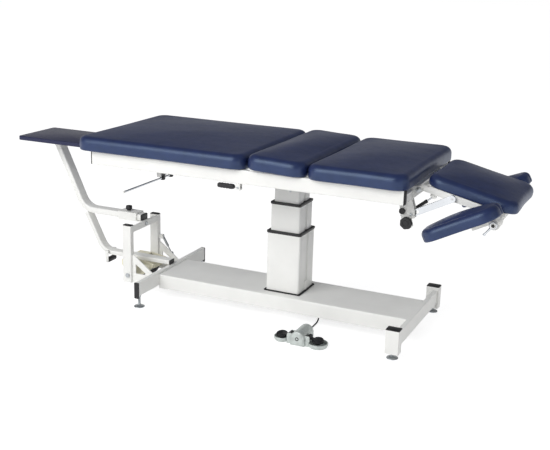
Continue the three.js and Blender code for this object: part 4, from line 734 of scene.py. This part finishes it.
class TRACTIONTABLE_OT_column(bpy.types.Operator):
    """The three stages of the lifting column, its gasket and its two collars"""

    bl_idname = "traction_table.column"
    bl_label = "Column"

    # Each stage: its size along X and along Y, and its foot and top.
    stages = {
        "column_lower": (0.148, 0.154, 0.1024, 0.354),
        "column_middle": (0.130, 0.134, 0.156, 0.475),
        "column_inner": (0.112, 0.116, 0.268, 0.5987),
    }
    wall = 0.0078
    collar_height, collar_overhang, collar_gap = 0.009, 0.003, 0.0003
    lip_drop, lip_rise = 0.0014, 0.0012  # of the lip on a stage's top, below and above it
    gasket_height, gasket_overhang = 0.004, 0.008

    def execute(self, context):
        groove, edge = sizes().groove, sizes().plastic_edge
        for node, (x, y, low, high) in self.stages.items():
            bore = stage_outline(x, y, 0, self.wall)
            stand_in(node, prism(stage_outline(x, y, groove), "z", low, high, 0.0006, bore))
        collars = (("column_collar_low", "column_lower", "column_middle"),
                   ("column_collar_mid", "column_middle", "column_inner"))
        for node, outer, inner in collars:
            x, y, _, top = self.stages[outer]
            over, low = 2 * self.collar_overhang, top + self.collar_gap
            hole = stage_outline(*self.stages[inner][:2], groove, -0.0005)
            body = prism(stage_outline(x + over, y + over, 0), "z", low, low + self.collar_height, edge, hole)
            lip = prism(stage_outline(x + over / 3, y + over / 3, 0), "z", top - self.lip_drop, top + self.lip_rise,
                        0.0004, hole)
            stand_in(node, body, lip)
        x, y, low, _ = self.stages["column_lower"]
        over = 2 * self.gasket_overhang
        hole = stage_outline(x, y, groove, -0.0003)
        gasket = prism(stage_outline(x + over, y + over, 0), "z", low, low + self.gasket_height, 0.0012, hole)
        stand_in("column_gasket", gasket)
        return {"FINISHED"}


class TRACTIONTABLE_OT_fasteners(bpy.types.Operator):
    """Screws of the column's stages, the cover at its foot, and the bolts and axle ends of the stand"""

    bl_idname = "traction_table.fasteners"
    bl_label = "Fasteners"

    screw_y = 0.048 / 0.154  # share of a stage's size along Y
    screw_drop = 0.017  # below a stage's top
    screw_radius = 0.0042
    screw_rise = {"column_lower": 0.0016, "column_middle": 0.0004}  # a sliding stage has flush screws
    inner_screw = (0.015, 0.534)  # along X, and its height
    cover_middle, cover_face, cover_screw_z = (-0.006, 0.127), 0.0772, 0.138
    axle_end = (-0.722, 0.127, 0.073)
    collar_y = 0.206

    def execute(self, context):
        stages = TRACTIONTABLE_OT_column.stages
        for node, rise in self.screw_rise.items():
            x, y, _, top = stages[node]
            heads = [
                placed(button("x", self.screw_radius, sign * rise),
                       (sign * x / 2, side * self.screw_y * y, top - self.screw_drop))
                for sign in (1, -1) for side in (1, -1)
            ]
            make_piece(f"{node}_screws", heads, "white_powder_coat", BODY_OF[node])
        x, z = self.inner_screw
        head = placed(button("y", 0.0045, -0.0004), (x, -stages["column_inner"][1] / 2, z))
        make_piece("column_inner_screw", [head], "zinc_steel", BODY_OF["column_inner"])
        cover = prism(rounded_rectangle(0.022, 0.040, 0.004, self.cover_middle), "x", 0.0735, self.cover_face, 0.001)
        head = placed(button("x", 0.0035, 0.001), (self.cover_face, self.cover_middle[0], self.cover_screw_z))
        make_piece("column_cover", [cover, head], "white_powder_coat", "base")
        x, y, z = self.axle_end
        bolts = [turned_nut("y", 0.018, 0.007, (x, sign * y, z), sign) for sign in (-1, 1)]
        make_piece("stand_bolts", [turned_nut("x", 0.016, 0.006, (-0.706, 0, 0.282), 1), *bolts], "zinc_steel", "base")
        x, _, z = HINGE
        collars = [turned_nut("y", 0.020, 0.004, (x, sign * self.collar_y, z), sign) for sign in (1, -1)]
        make_piece("hinge_collars", collars, "zinc_steel", "top")
        return {"FINISHED"}


def turned_nut(axis, across, height, at, sign):
    """A nut against a face, with the domed end of its bolt: the hexagon's end rings are inset."""
    low, high = reach_out(sign, 0, height)
    body = prism(hexagon(across), axis, low, high, 0.0009)
    end = turned(np.array([(0, 0), (1, 0), (1, 1.18), (0.8, 1.3), (0, 1.36)]) * (across * 0.29, sign * height), axis)
    return (np.vstack((body[0], end[0])) + np.asarray(at), body[1] + [part + len(body[0]) for part in end[1]])


# Feet and caps.
class TRACTIONTABLE_OT_feet(bpy.types.Operator):
    """The four levelling feet: pad, screwed stem and lock nut"""

    bl_idname = "traction_table.feet"
    bl_label = "Levelling feet"

    # Each end: where its two feet stand along X and from the middle, and the underside of the tube above.
    ends = {"head": (0.551, 0.280, 0.022), "foot": (-0.574, 0.270, 0.052)}

    def execute(self, context):
        pad = softened(
            [(0, 0), (0.023, 0), (0.023, 0.0032), (0.0185, 0.0065), (0.0095, 0.009), (0.0095, 0.0098), (0, 0.0098)],
            [0, 0.0012, 0.0014, 0.002, 0.0008, 0.0004, 0],
        )
        for end, (x, y, tube_bottom) in self.ends.items():
            nut_low, nut_top = tube_bottom - 0.0073, tube_bottom - 0.0003
            nut = prism(hexagon(0.0175), "z", nut_low, nut_top, 0.0009)
            stem = screwed_stem(0.0058, 0.008, tube_bottom + 0.012, 0.0015)
            for side, sign in SIDES.items():
                at = (x, sign * y, 0)
                stand_in(f"level_foot_{end}_{side}", *(placed(shell, at) for shell in (turned(pad), nut, stem)))
        return {"FINISHED"}


class TRACTIONTABLE_OT_caps(bpy.types.Operator):
    """Black caps of the legs, the stand's posts and arm, the rails and the foot cross tube"""

    bl_idname = "traction_table.caps"
    bl_label = "End caps"

    # Each lid: its size along X and Y, where it stands along X and from the middle, and its underside and top.
    lids = {
        "leg_cap": (0.055, 0.041, 0.551, 0.280, 0.1161, 0.1193),
        "post_cap": (0.042, 0.026, -0.727, 0.114, 0.2981, 0.3013),
    }
    lid_corner = 0.004
    rail_middle = (0.305, 0.6325)  # from the middle, and its height
    rail_ends = {"foot": -0.7690, "head": 0.5650}
    shoe_middle, shoe_span = (-0.574, 0.0770), (0.2868, 0.2925)
    arm_middle = (0, 0.312)

    def execute(self, context):
        edge = sizes().plastic_edge
        for side, sign in SIDES.items():
            for name, (width, depth, x, y, low, high) in self.lids.items():
                outline = rounded_rectangle(width, depth, self.lid_corner, (x, sign * y))
                stand_in(f"{name}_{side}", prism(outline, "z", low, high, edge))
            y, z = self.rail_middle
            for end, low in self.rail_ends.items():
                section = rounded_rectangle(0.0254, 0.0554, 0.0035, (sign * y, z))
                plug = rounded_rectangle(0.018, 0.048, 0.002, (sign * y, z))
                shells = [prism(section, "x", low, low + 0.004, edge),
                          prism(plug, "x", low - 0.002, low + 0.006, edge)]
                make_piece(f"rail_cap_{end}_{side}", shells, "black_plastic", "top")
            shoe = rounded_rectangle(0.0225, 0.0705, 0.0035, self.shoe_middle)
            shoe = prism(shoe, "y", *reach_out(sign, *self.shoe_span), edge)
            make_piece(f"cross_tube_shoe_{side}", [shoe], "black_plastic", "base")
        lid = rounded_rectangle(0.050, 0.027, 0.004, self.arm_middle)
        face = rounded_rectangle(0.042, 0.019, 0.003, self.arm_middle)
        stand_in("arm_cap", prism(lid, "x", -0.7188, -0.7127, edge), prism(face, "x", -0.7129, -0.7119, 0.0003))
        return {"FINISHED"}


# Traction stand.
class TRACTIONTABLE_OT_stand(bpy.types.Operator):
    """The bent arm with its shelf, glide roller and stay, and the transport wheels"""

    bl_idname = "traction_table.stand"
    bl_label = "Traction stand"

    arm_line = [(-1.162, 0.606), (-1.022, 0.312), (-0.719, 0.312)]
    lower_line = [(-1.0115, 0.298), (-0.922, 0.124), (-0.575, 0.124)]
    shelf_underside, shelf_top = 0.6218, 0.640
    plate_height = 0.005
    roller_at = (-0.896, 0, 0.088)
    ear_x = (-0.9044, -0.8876)
    wheel_at = (-0.722, 0.060, 0.073)
    stay_foot, stay_head, stay_y = (-0.694, 0.195), (-0.646, 0.118), 0.1238

    def execute(self, context):
        self.make_arm()
        self.make_shelf()
        self.make_wheels()
        self.make_stay()
        return {"FINISHED"}

    def make_arm(self):
        """Two tubes swept along bent lines, the shelf's plate, and the fork that holds the roller."""
        plate_low = self.shelf_underside - self.plate_height
        end = plate_low + 0.001
        top = np.array(self.arm_line[0])
        lean = (top - self.arm_line[1]) / np.linalg.norm(top - self.arm_line[1])
        start = top + lean * (end - top[1]) / lean[1]
        upper = softened([start, *self.arm_line[1:]], 0.055, 13)
        lower = softened(self.lower_line, 0.05, 13)
        back, front = self.ear_x
        stand_in(
            "stand_arm",
            swept(rounded_rectangle(0.050, 0.027, 0.005), upper, end),
            swept(rounded_rectangle(0.044, 0.020, 0.004), lower),
            block((-1.2245, -0.050, plate_low), (-1.1245, 0.050, self.shelf_underside - 0.0001), 0.0016),
            block((back, -0.034, 0.131), (front, 0.034, 0.1344), 0.0014),
            *(block((back, low, 0.0796), (front, low + 0.003, 0.134), 0.0014) for low in (-0.034, 0.031)),
            placed(bar("y", 0.004, -0.0365, 0.0365), self.roller_at),
        )
        plug = rounded_rectangle(0.0436, 0.0196, 0.004, (0, self.lower_line[-1][1]))
        make_piece("arm_lower_plug", [prism(plug, "x", -0.5752, -0.5730, 0.001)], "black_plastic", "stand_arm")
        roller = mirrored([(0.0043, -0.030), (0.0105, -0.030), (0.012, -0.0275)])
        stand_in("glide_roller", placed(sleeve("y", roller, 0.0012), self.roller_at))
        heads = [placed(button("z", 0.005, -0.002), (x, y, plate_low))
                 for x in (-1.212, -1.137) for y in (-0.04, 0.04)]
        make_piece("shelf_screws", heads, "zinc_steel", "stand_arm")

    def make_shelf(self):
        outline = rounded_rectangle(0.392, 0.262, 0.014, (-1.096, 0), 10)
        stand_in("traction_shelf", prism(outline, "z", self.shelf_underside + 0.0002, self.shelf_top, 0.0028))

    def make_wheels(self):
        tyre = mirrored([(0.0285, -0.0105), (0.0345, -0.012), (0.0395, -0.012), (0.043, -0.0085)])
        hub = mirrored([(0.0063, -0.012), (0.0115, -0.012), (0.0135, -0.0065), (0.024, -0.0055), (0.0260, -0.0100),
                        (0.0290, -0.0100)])
        x, y, z = self.wheel_at
        for side, sign in SIDES.items():
            at, node = (x, sign * y, z), f"transport_wheel_{side}"
            stand_in(node, placed(sleeve("y", tyre, 0.003, 64), at), sharp=50)
            make_piece(f"wheel_hub_{side}", [placed(sleeve("y", hub, 0.001, 48), at)], "grey_housing", BODY_OF[node])

    def make_stay(self):
        """A gas strut in miniature: a turned body and rod on one axis, with an eye across each end."""
        (x, z), (end_x, end_z) = self.stay_foot, self.stay_head
        reach, slope = math.hypot(end_x - x, end_z - z), -math.atan2(end_z - z, end_x - x)
        body = softened([(0, 0.004), (0.0056, 0.004), (0.0056, 0.0545), (0.0035, 0.0545), (0, 0.0545)], 0.001)
        rod = softened([(0, 0.05), (0.0026, 0.05), (0.0026, reach - 0.004), (0, reach - 0.004)], 0.0005)
        eyes = [placed(ring("y", 0.007, 0.0032, -0.0055, 0.0055, 0.001), (x, 0, 0)) for x in (0, reach)]
        pins = [placed(bar("y", 0.0031, -0.0066, 0.0066), (x, 0, 0)) for x in (0, reach)]
        shells = [turned(body, "x"), turned(rod, "x"), *eyes, *pins]
        at = (x, self.stay_y, z)
        stand_in("stand_stay", *(placed(shell, at, slope) for shell in shells))


# Knobs and levers.
def lobed_knob(radius, height, lobes):
    """A hand knob that stands on its face: a waisted collar, a lobed grip with round edges and a plug in its top."""
    profile = softened(
        [(0, 0), (0.60, 0), (0.60, 0.24), (0.95, 0.27), (1, 0.40), (1, 0.86), (0.90, 0.98), (0.52, 1.0),
         (0.46, 0.93), (0.42, 0.93), (0.40, 0.99), (0, 1.0)],
        [0, 0.04, 0.05, 0.10, 0.10, 0.14, 0.10, 0.05, 0.03, 0.03, 0.04, 0],
    )
    return turned(profile * (radius, height), sides=lobes * 16, lobes=lobes, lobe_depth=0.035)


class TRACTIONTABLE_OT_knobs(bpy.types.Operator):
    """The stand's clamp knob, and the clamp and pivot knobs of the head section"""

    bl_idname = "traction_table.knobs"
    bl_label = "Hand knobs"

    bracket_face = -0.2081
    # Each knob on the bracket: its radius, height and lobes, and where it stands along X and in height.
    bracket_knobs = {"clamp_knob": (0.024, 0.020, 7, 0.553, 0.516), "pivot_knob": (0.012, 0.012, 5, 0.533, 0.558)}

    def execute(self, context):
        stand_in("stand_knob", placed(lobed_knob(0.015, 0.022, 6), (-0.794, 0, 0.3312)))
        for node, (radius, height, lobes, x, z) in self.bracket_knobs.items():
            shell = placed(lobed_knob(radius, height, lobes), lean=math.pi / 2)
            stand_in(node, placed(shell, (x, self.bracket_face, z)))
        return {"FINISHED"}


class TRACTIONTABLE_OT_levers(bpy.types.Operator):
    """The clamp levers on the armrests' spindle, with the caps on its ends"""

    bl_idname = "traction_table.levers"
    bl_label = "Armrest levers"

    hub_start, hub_end = 0.3130, 0.3260
    hub_bore = 0.0093
    cap_span = (0.3296, 0.3313)

    def execute(self, context):
        middle = (self.hub_start + self.hub_end) / 2
        handle = softened(
            [(0, -0.0093), (0.0050, -0.0093), (0.0040, -0.030), (0.0037, -0.041), (0.0056, -0.0445),
             (0.0054, -0.0505), (0.0030, -0.0520), (0, -0.0522)],
            [0, 0.001, 0.01, 0.004, 0.003, 0.003, 0.002, 0],
        )
        pivot = sloped(HINGE, *SPINDLE, HEAD_SLOPE)
        for side, sign in SIDES.items():
            hub = ring("y", 0.0135, self.hub_bore, *reach_out(sign, self.hub_start, self.hub_end), 0.0016)
            face = reach_out(sign, self.hub_end - 0.0005, self.hub_end + 0.0012)
            stand_in(
                f"armrest_lever_{side}",
                placed(hub, pivot),
                placed(ring("y", 0.0118, self.hub_bore, *face, 0.0006), pivot),
                placed(turned(handle, "x"), np.add(pivot, (0, sign * middle, 0)), LEVER_SLOPE),
            )
            cap = placed(bar("y", 0.0062, *reach_out(sign, *self.cap_span), 0.0006), pivot)
            make_piece(f"spindle_cap_{side}", [cap], "black_plastic", "head_section")
        return {"FINISHED"}


class TRACTIONTABLE_OT_controls(bpy.types.Operator):
    """The release bar and its hub under the leg section, and the lock lever under the near rail"""

    bl_idname = "traction_table.controls"
    bl_label = "Release bar and lock lever"

    release_x, release_z, pivot_z = -0.598, 0.512, 0.531
    bar_half, tip_span = 0.3395, (0.3345, 0.345)
    clip_half, clip_y, clip_depth = 0.0095, 0.034, 0.007
    lock_pivot = (-0.096, -0.305, 0.588)

    def execute(self, context):
        x, z = self.release_x, self.release_z
        stand_in("release_bar", placed(bar("y", 0.0045, -self.bar_half, self.bar_half), (x, 0, z)))
        for side, sign in SIDES.items():
            tip = placed(bar("y", 0.0052, *reach_out(sign, *self.tip_span), 0.0016), (x, 0, z))
            make_piece(f"release_tip_{side}", [tip], "white_powder_coat", "release")
        hub = placed(sleeve("y", mirrored([(0.0050, -0.060), (0.0085, -0.060), (0.010, -0.057)]), 0.0012),
                     (x, 0, self.pivot_z))
        low, high, foot = x - self.clip_half, x + self.clip_half, z - self.clip_half
        outline = [(low, foot), (high, foot), (high, self.pivot_z), (low, self.pivot_z)]
        clips = [plate(outline, y - self.clip_depth, y + self.clip_depth, 0.004, 0.001)
                 for y in (-self.clip_y, self.clip_y)]
        stand_in("release_hub", hub, *clips)
        self.make_lock()
        return {"FINISHED"}

    def make_lock(self):
        """A chunky grip: a round rectangle along X, whose size falls off at both ends as the root of one less an
        eighth power, and swells and shrinks by a cosine over the part that the fingers hold."""
        x = np.linspace(-0.092, -0.018, 41)
        share = (x - x[0]) / (x[-1] - x[0])
        ends = np.sqrt(np.clip(1 - np.abs(2 * share - 1) ** 8, 0, 1))
        ribs = 1 - 0.05 * (1 + np.cos(FULL_TURN * 6 * share)) * (share < 0.75)
        section = rounded_rectangle(0.0185, 0.0200, 0.0055)
        scale = (0.35 + 0.65 * ends)[:, None] * ribs[:, None]
        rings = np.stack((np.broadcast_to(x[:, None], (len(x), len(section))), section[:, 0] * scale,
                          section[:, 1] * scale), axis=-1)
        shank = bar("x", 0.005, -0.026, -0.004)
        eye = ring("y", 0.0085, 0.0033, -0.005, 0.005, 0.001)
        stand_in("lock_lever", *(placed(shell, self.lock_pivot) for shell in (surface(rings), shank, eye)))
        pin = [placed(button("y", 0.0052, -0.0015), np.add(self.lock_pivot, (0, -0.010, 0)))]
        make_piece("lock_pin", pin, "zinc_steel", "top")


class TRACTIONTABLE_OT_head_support(bpy.types.Operator):
    """The gas spring of the head section, its clevis, and the ends of the support's pins"""

    bl_idname = "traction_table.head_support"
    bl_label = "Head support"

    lower_pin = np.array([0.561, -0.173, 0.556])
    upper_place = (0.057, -0.012)  # along the head section and above its hinge
    fork_pin = (0.566, -0.2078, 0.548)

    def execute(self, context):
        upper = np.array(sloped(HINGE, *self.upper_place, HEAD_SLOPE, self.lower_pin[1]))
        run = upper - self.lower_pin
        reach, slope = np.hypot(run[0], run[2]), -math.atan2(run[2], run[0])

        def on_axis(*shells):
            return (placed(shell, self.lower_pin, slope) for shell in shells)

        body = [(0.0041, 0.0053), (0.0072, 0.0053), (0.0072, 0.010), (0.0066, 0.0115), (0.0066, 0.0560),
                (0.0072, 0.0585), (0.0072, 0.0665), (0.0058, 0.0680), (0.0041, 0.0680)]
        eye = ring("y", 0.0070, 0.0043, -0.0040, 0.0040, 0.001)
        stand_in("gas_spring_body", *on_axis(sleeve("x", body, 0.0008), eye))
        rod = softened([(0, 0.033), (0.0034, 0.033), (0.0034, reach - 0.010), (0.0048, reach - 0.009),
                        (0.0048, reach - 0.004), (0, reach - 0.004)], 0.0005)
        eye = placed(ring("y", 0.0058, 0.0040, -0.0040, 0.0040, 0.0008), (reach, 0, 0))
        stand_in("gas_spring_rod", *on_axis(turned(rod, "x"), eye))
        tab = plate([(0.047, 0.002), (0.067, 0.002), (0.064, -0.022), (0.050, -0.022)], -0.1803, -0.1783, 0.006)
        x, z = self.upper_place
        pin = placed(bar("y", 0.0020, -0.1825, -0.1665), (x, 0, z))
        make_piece("spring_clevis", [placed(shell, HINGE, HEAD_SLOPE) for shell in (tab, pin)],
                   "white_powder_coat", "head_section")
        make_piece("fork_pin_end", [turned_nut("y", 0.0115, 0.0035, self.fork_pin, -1)], "zinc_steel", "top")
        return {"FINISHED"}


# Foot control.
class TRACTIONTABLE_OT_foot_control(bpy.types.Operator):
    """The cast twin-pedal control with its two pedals"""

    bl_idname = "traction_table.foot_control"
    bl_label = "Foot control"

    middle_x, half = 0.186, 0.029  # of the body
    front, back = -0.346, -0.242
    face_inset, face_rise = 0.0050, 0.0014  # of the raised face in front
    relief_place = (0.172, 0, 0.036)
    pedal_offset, pedal_y, hub_z, pedal_drop = 0.076, -0.315, 0.034, 0.009
    hub_offset = 0.039
    sides = {"left": (-1, 0.032), "right": (1, 0.040)}  # each pedal's side, and the radius of its dish

    def execute(self, context):
        parts = [self.body(self.half, self.front, self.back, 0.0045),
                 self.body(self.half - self.face_inset, self.front - self.face_rise, self.front + 0.004, 0.0012)]
        for sign, dish in self.sides.values():
            parts += self.pedal_seat(sign, dish)
        relief = placed(bar("y", 0.006, self.back - 0.002, self.back + 0.004, 0.001), self.relief_place)
        stand_in("foot_control", *parts, relief, sharp=50)
        eye = softened([(0, 0.0012), (0.0044, 0.0012), (0.0050, -0.0018), (0.0072, -0.0018), (0.0078, 0.0012),
                        (0, 0.0012)], [0, 0.0003, 0.0006, 0.0008, 0.0003, 0])
        eye = placed(turned(eye, "y"), (self.middle_x, self.front - 0.0010, self.half))
        make_piece("foot_control_eye", [eye], "black_plastic", "base")
        for side, (sign, _) in self.sides.items():
            self.make_pedal(f"pedal_{side}", sign)
        return {"FINISHED"}

    def body(self, radius, low, high, edge):
        """A half circle on a rectangle of the same width, carried along Y."""
        turn = np.linspace(0, math.pi, 33)
        arch = np.stack((radius * np.cos(turn), self.half + radius * np.sin(turn)), axis=1)
        foot = self.half - radius
        outline = np.vstack((((-radius, foot), (0, foot), (radius, foot)), arch))
        return prism(outline + (self.middle_x, 0), "y", low, high, edge)

    def pedal_seat(self, sign, dish):
        """A turned dish, the web from it to the body, and the two cheeks of the pedal's hub."""
        bowl = softened(
            [(0, 0), (dish - 0.006, 0), (dish - 0.001, 0.008), (dish, 0.0185), (dish - 0.0018, 0.0195),
             (dish - 0.0045, 0.0185), (dish - 0.0065, 0.0065), (dish - 0.010, 0.0042), (0, 0.004)],
            [0, 0.004, 0.004, 0.001, 0.001, 0.001, 0.003, 0.003, 0],
        )
        root = self.half - 0.002
        low, high = self.middle_x + np.array(reach_out(sign, root, self.pedal_offset - dish + 0.004))
        shells = [placed(turned(bowl, sides=72), (self.middle_x + sign * self.pedal_offset, self.pedal_y, 0)),
                  block((low, self.pedal_y - 0.015, 0), (high, self.pedal_y + 0.015, 0.008), 0.0015)]
        inner, outer = self.middle_x + sign * root, self.middle_x + sign * (self.hub_offset + 0.009)
        outline = [(inner, 0), (outer, 0), (outer, 0.043), (inner, 0.043)]
        for y in (self.pedal_y - 0.020, self.pedal_y + 0.016):
            shells.append(plate(outline, y, y + 0.004, [0.0005, 0.0005, 0.008, 0.0005]))
        return shells

    def make_pedal(self, node, sign):
        """A hub, an arm down to the disc, and a disc whose tread is a row of cosine waves from its middle out."""
        radius = np.linspace(0, 0.0205, 50)
        tread = np.column_stack((radius, 0.0045 + 0.0004 * np.cos(FULL_TURN * radius / 0.0034)))
        edge = [(0.0225, 0.0040), (0.023, 0.0025), (0.023, -0.0025), (0.0218, -0.0042), (0.0205, -0.0045),
                (0, -0.0045)]
        disc = turned(np.vstack((tread, edge)), sides=64)
        reach = sign * (self.pedal_offset - self.hub_offset)
        drop = -self.pedal_drop
        arm = plate([(0, 0.0045), (0, -0.0045), (reach, drop - 0.004), (reach, drop + 0.003)], -0.006, 0.006, 0.002)
        hub = ring("y", 0.009, 0.0033, -0.015, 0.015, 0.001)
        at = (self.middle_x + sign * self.hub_offset, self.pedal_y, self.hub_z)
        shells = (placed(disc, (reach, 0, drop), lean=PEDAL_LEAN), arm, hub)
        stand_in(node, *(placed(shell, at) for shell in shells))


# The camera and the room.
class TRACTIONTABLE_OT_stage(bpy.types.Operator):
    """Camera, floor, lamps and surrounding light"""

    bl_idname = "traction_table.stage"
    bl_label = "Stage"

    image_width = 550  # pixels of the photograph
    focal_pixels = 957.78
    sensor = 36
    azimuth = math.radians(24.03)
    elevation = math.radians(15.84)
    roll = math.radians(1.65)
    eye = (COLUMN_X + 1.4978, -3.5264, 1.4602)
    floor_half = 30
    floor_glow, floor_paper = 0.8, 0.5  # strength of the floor's own light, and how much of its colour takes shadow
    aim = (0.2, 0, 0.5)
    ceiling_start, ceiling_full = math.radians(2), math.radians(13)  # heights between which the wall fades

    def execute(self, context):
        self.make_camera(context.scene)
        self.make_floor(context.scene)
        self.make_lamps(context.scene)
        self.make_sky(context.scene)
        context.scene.view_settings.view_transform = "Standard"
        return {"FINISHED"}

    def make_camera(self, scene):
        data = bpy.data.cameras.new("camera")
        data.sensor_width = self.sensor
        data.lens = self.focal_pixels / self.image_width * self.sensor
        data.clip_end = 100
        camera = bpy.data.objects.new("camera", data)
        flat = math.cos(self.elevation)
        back = Vector((math.sin(self.azimuth) * flat, -math.cos(self.azimuth) * flat, math.sin(self.elevation)))
        right = Vector((math.cos(self.azimuth), math.sin(self.azimuth), 0))
        up = back.cross(right)
        rolled_right = right * math.cos(self.roll) + up * math.sin(self.roll)
        rolled_up = up * math.cos(self.roll) - right * math.sin(self.roll)
        turn = Matrix((rolled_right, rolled_up, back)).transposed()
        camera.matrix_world = Matrix.Translation(self.eye) @ turn.to_4x4()
        scene.collection.objects.link(camera)
        scene.camera = camera

    def make_floor(self, scene):
        half = self.floor_half
        mesh = bpy.data.meshes.new("floor")
        mesh.from_pydata([(-half, -half, 0), (half, -half, 0), (half, half, 0), (-half, half, 0)], [], [(0, 1, 2, 3)])
        floor = bpy.data.objects.new("floor", mesh)
        scene.collection.objects.link(floor)
        mesh.materials.append(self.floor_finish(scene.traction_table_stage))

    def floor_finish(self, settings):
        """Seen by the camera, the floor is white paper with the object's shadow; other rays see a plain floor."""
        nodes = Finish("floor")
        plain, paper = (
            nodes.add("ShaderNodeBsdfDiffuse", {"Color": (*shade(settings.floor, factor), 1)}).outputs[0]
            for factor in (1, self.floor_paper)
        )
        glow = nodes.add("ShaderNodeEmission", {"Color": (1, 1, 1, 1), "Strength": self.floor_glow}).outputs[0]
        seen = nodes.add("ShaderNodeAddShader", {0: paper, 1: glow}).outputs[0]
        mixed = nodes.mixed(nodes.for_rays("Camera", "Glossy", "Transmission"), plain, seen)
        nodes.feed(nodes.output.inputs["Surface"], mixed)
        return nodes.material

    def make_lamps(self, scene):
        settings = scene.traction_table_stage
        for name, power, size, place in (
            ("key_lamp", settings.key, 3.8, (-1.6, -4.4, 3.4)),
            ("fill_lamp", settings.fill, 3.0, (4.6, -1.5, 2.0)),
        ):
            data = bpy.data.lights.new(name, "AREA")
            data.shape = "SQUARE"
            data.size = size
            data.energy = power
            lamp = bpy.data.objects.new(name, data)
            lamp.location = place
            lamp.rotation_mode = "QUATERNION"
            lamp.rotation_quaternion = (Vector(self.aim) - Vector(place)).to_track_quat("-Z", "Y")
            scene.collection.objects.link(lamp)

    def make_sky(self, scene):
        """An even light from all round. The camera sees a white wall, and so do reflections at eye height;
        above it they fade, over some ten degrees, to a dim ceiling."""
        settings = scene.traction_table_stage
        world = scene.world or bpy.data.worlds.new("world")
        scene.world = world
        world.use_nodes = True
        nodes = Nodes(world.node_tree)
        nodes.tree.nodes.clear()

        def background(strength):
            return nodes.add("ShaderNodeBackground", {"Color": (1, 1, 1, 1), "Strength": strength}).outputs[0]

        place = nodes.add("ShaderNodeTexCoord").outputs["Generated"]
        height = nodes.add("ShaderNodeSeparateXYZ", {0: place}).outputs["Z"]
        fade = {"Value": height, "From Min": math.sin(self.ceiling_start), "From Max": math.sin(self.ceiling_full)}
        rise = nodes.add("ShaderNodeMapRange", fade, interpolation_type="SMOOTHSTEP").outputs[0]
        room = nodes.mixed(rise, background(1), background(settings.ceiling))
        lit = nodes.mixed(nodes.for_rays("Glossy", "Transmission"), background(settings.sky), room)
        seen = nodes.mixed(nodes.for_rays("Camera"), lit, background(1))
        nodes.add("ShaderNodeOutputWorld", {"Surface": seen})


class TRACTIONTABLE_PT_panel(bpy.types.Panel):
    """The table's pieces and settings"""

    bl_idname = "TRACTIONTABLE_PT_panel"
    bl_label = "Traction table"
    bl_space_type = "VIEW_3D"
    bl_region_type = "UI"
    bl_category = "Traction table"

    def draw(self, context):
        scene = context.scene
        for settings in (scene.traction_table_sizes, scene.traction_table_finishes, scene.traction_table_stage):
            for name in settings.__annotations__:
                self.layout.prop(settings, name)
        for operator in OPERATORS:
            self.layout.operator(operator.bl_idname)


SETTINGS = {
    "traction_table_sizes": TableSizes,
    "traction_table_finishes": TableFinishes,
    "traction_table_stage": StageSettings,
}
OPERATORS = (
    TRACTIONTABLE_OT_stage,
    TRACTIONTABLE_OT_lead,
    TRACTIONTABLE_OT_finishes,
    TRACTIONTABLE_OT_cushions,
    TRACTIONTABLE_OT_column,
    TRACTIONTABLE_OT_feet,
    TRACTIONTABLE_OT_caps,
    TRACTIONTABLE_OT_stand,
    TRACTIONTABLE_OT_knobs,
    TRACTIONTABLE_OT_levers,
    TRACTIONTABLE_OT_controls,
    TRACTIONTABLE_OT_head_support,
    TRACTIONTABLE_OT_foot_control,
    TRACTIONTABLE_OT_fasteners,
)


def register():
    for group in SETTINGS.values():
        bpy.utils.register_class(group)
    for name, group in SETTINGS.items():
        setattr(bpy.types.Scene, name, bpy.props.PointerProperty(type=group))
    for operator in OPERATORS:
        bpy.utils.register_class(operator)
    bpy.utils.register_class(TRACTIONTABLE_PT_panel)


def unregister():
    bpy.utils.unregister_class(TRACTIONTABLE_PT_panel)
    for operator in reversed(OPERATORS):
        bpy.utils.unregister_class(operator)
    for name in SETTINGS:
        delattr(bpy.types.Scene, name)
    for group in SETTINGS.values():
        bpy.utils.unregister_class(group)


def main():
    register()
    for operator in OPERATORS:
        category, name = operator.bl_idname.split(".")
        getattr(getattr(bpy.ops, category), name)()


if __name__ == "__main__":
    main()
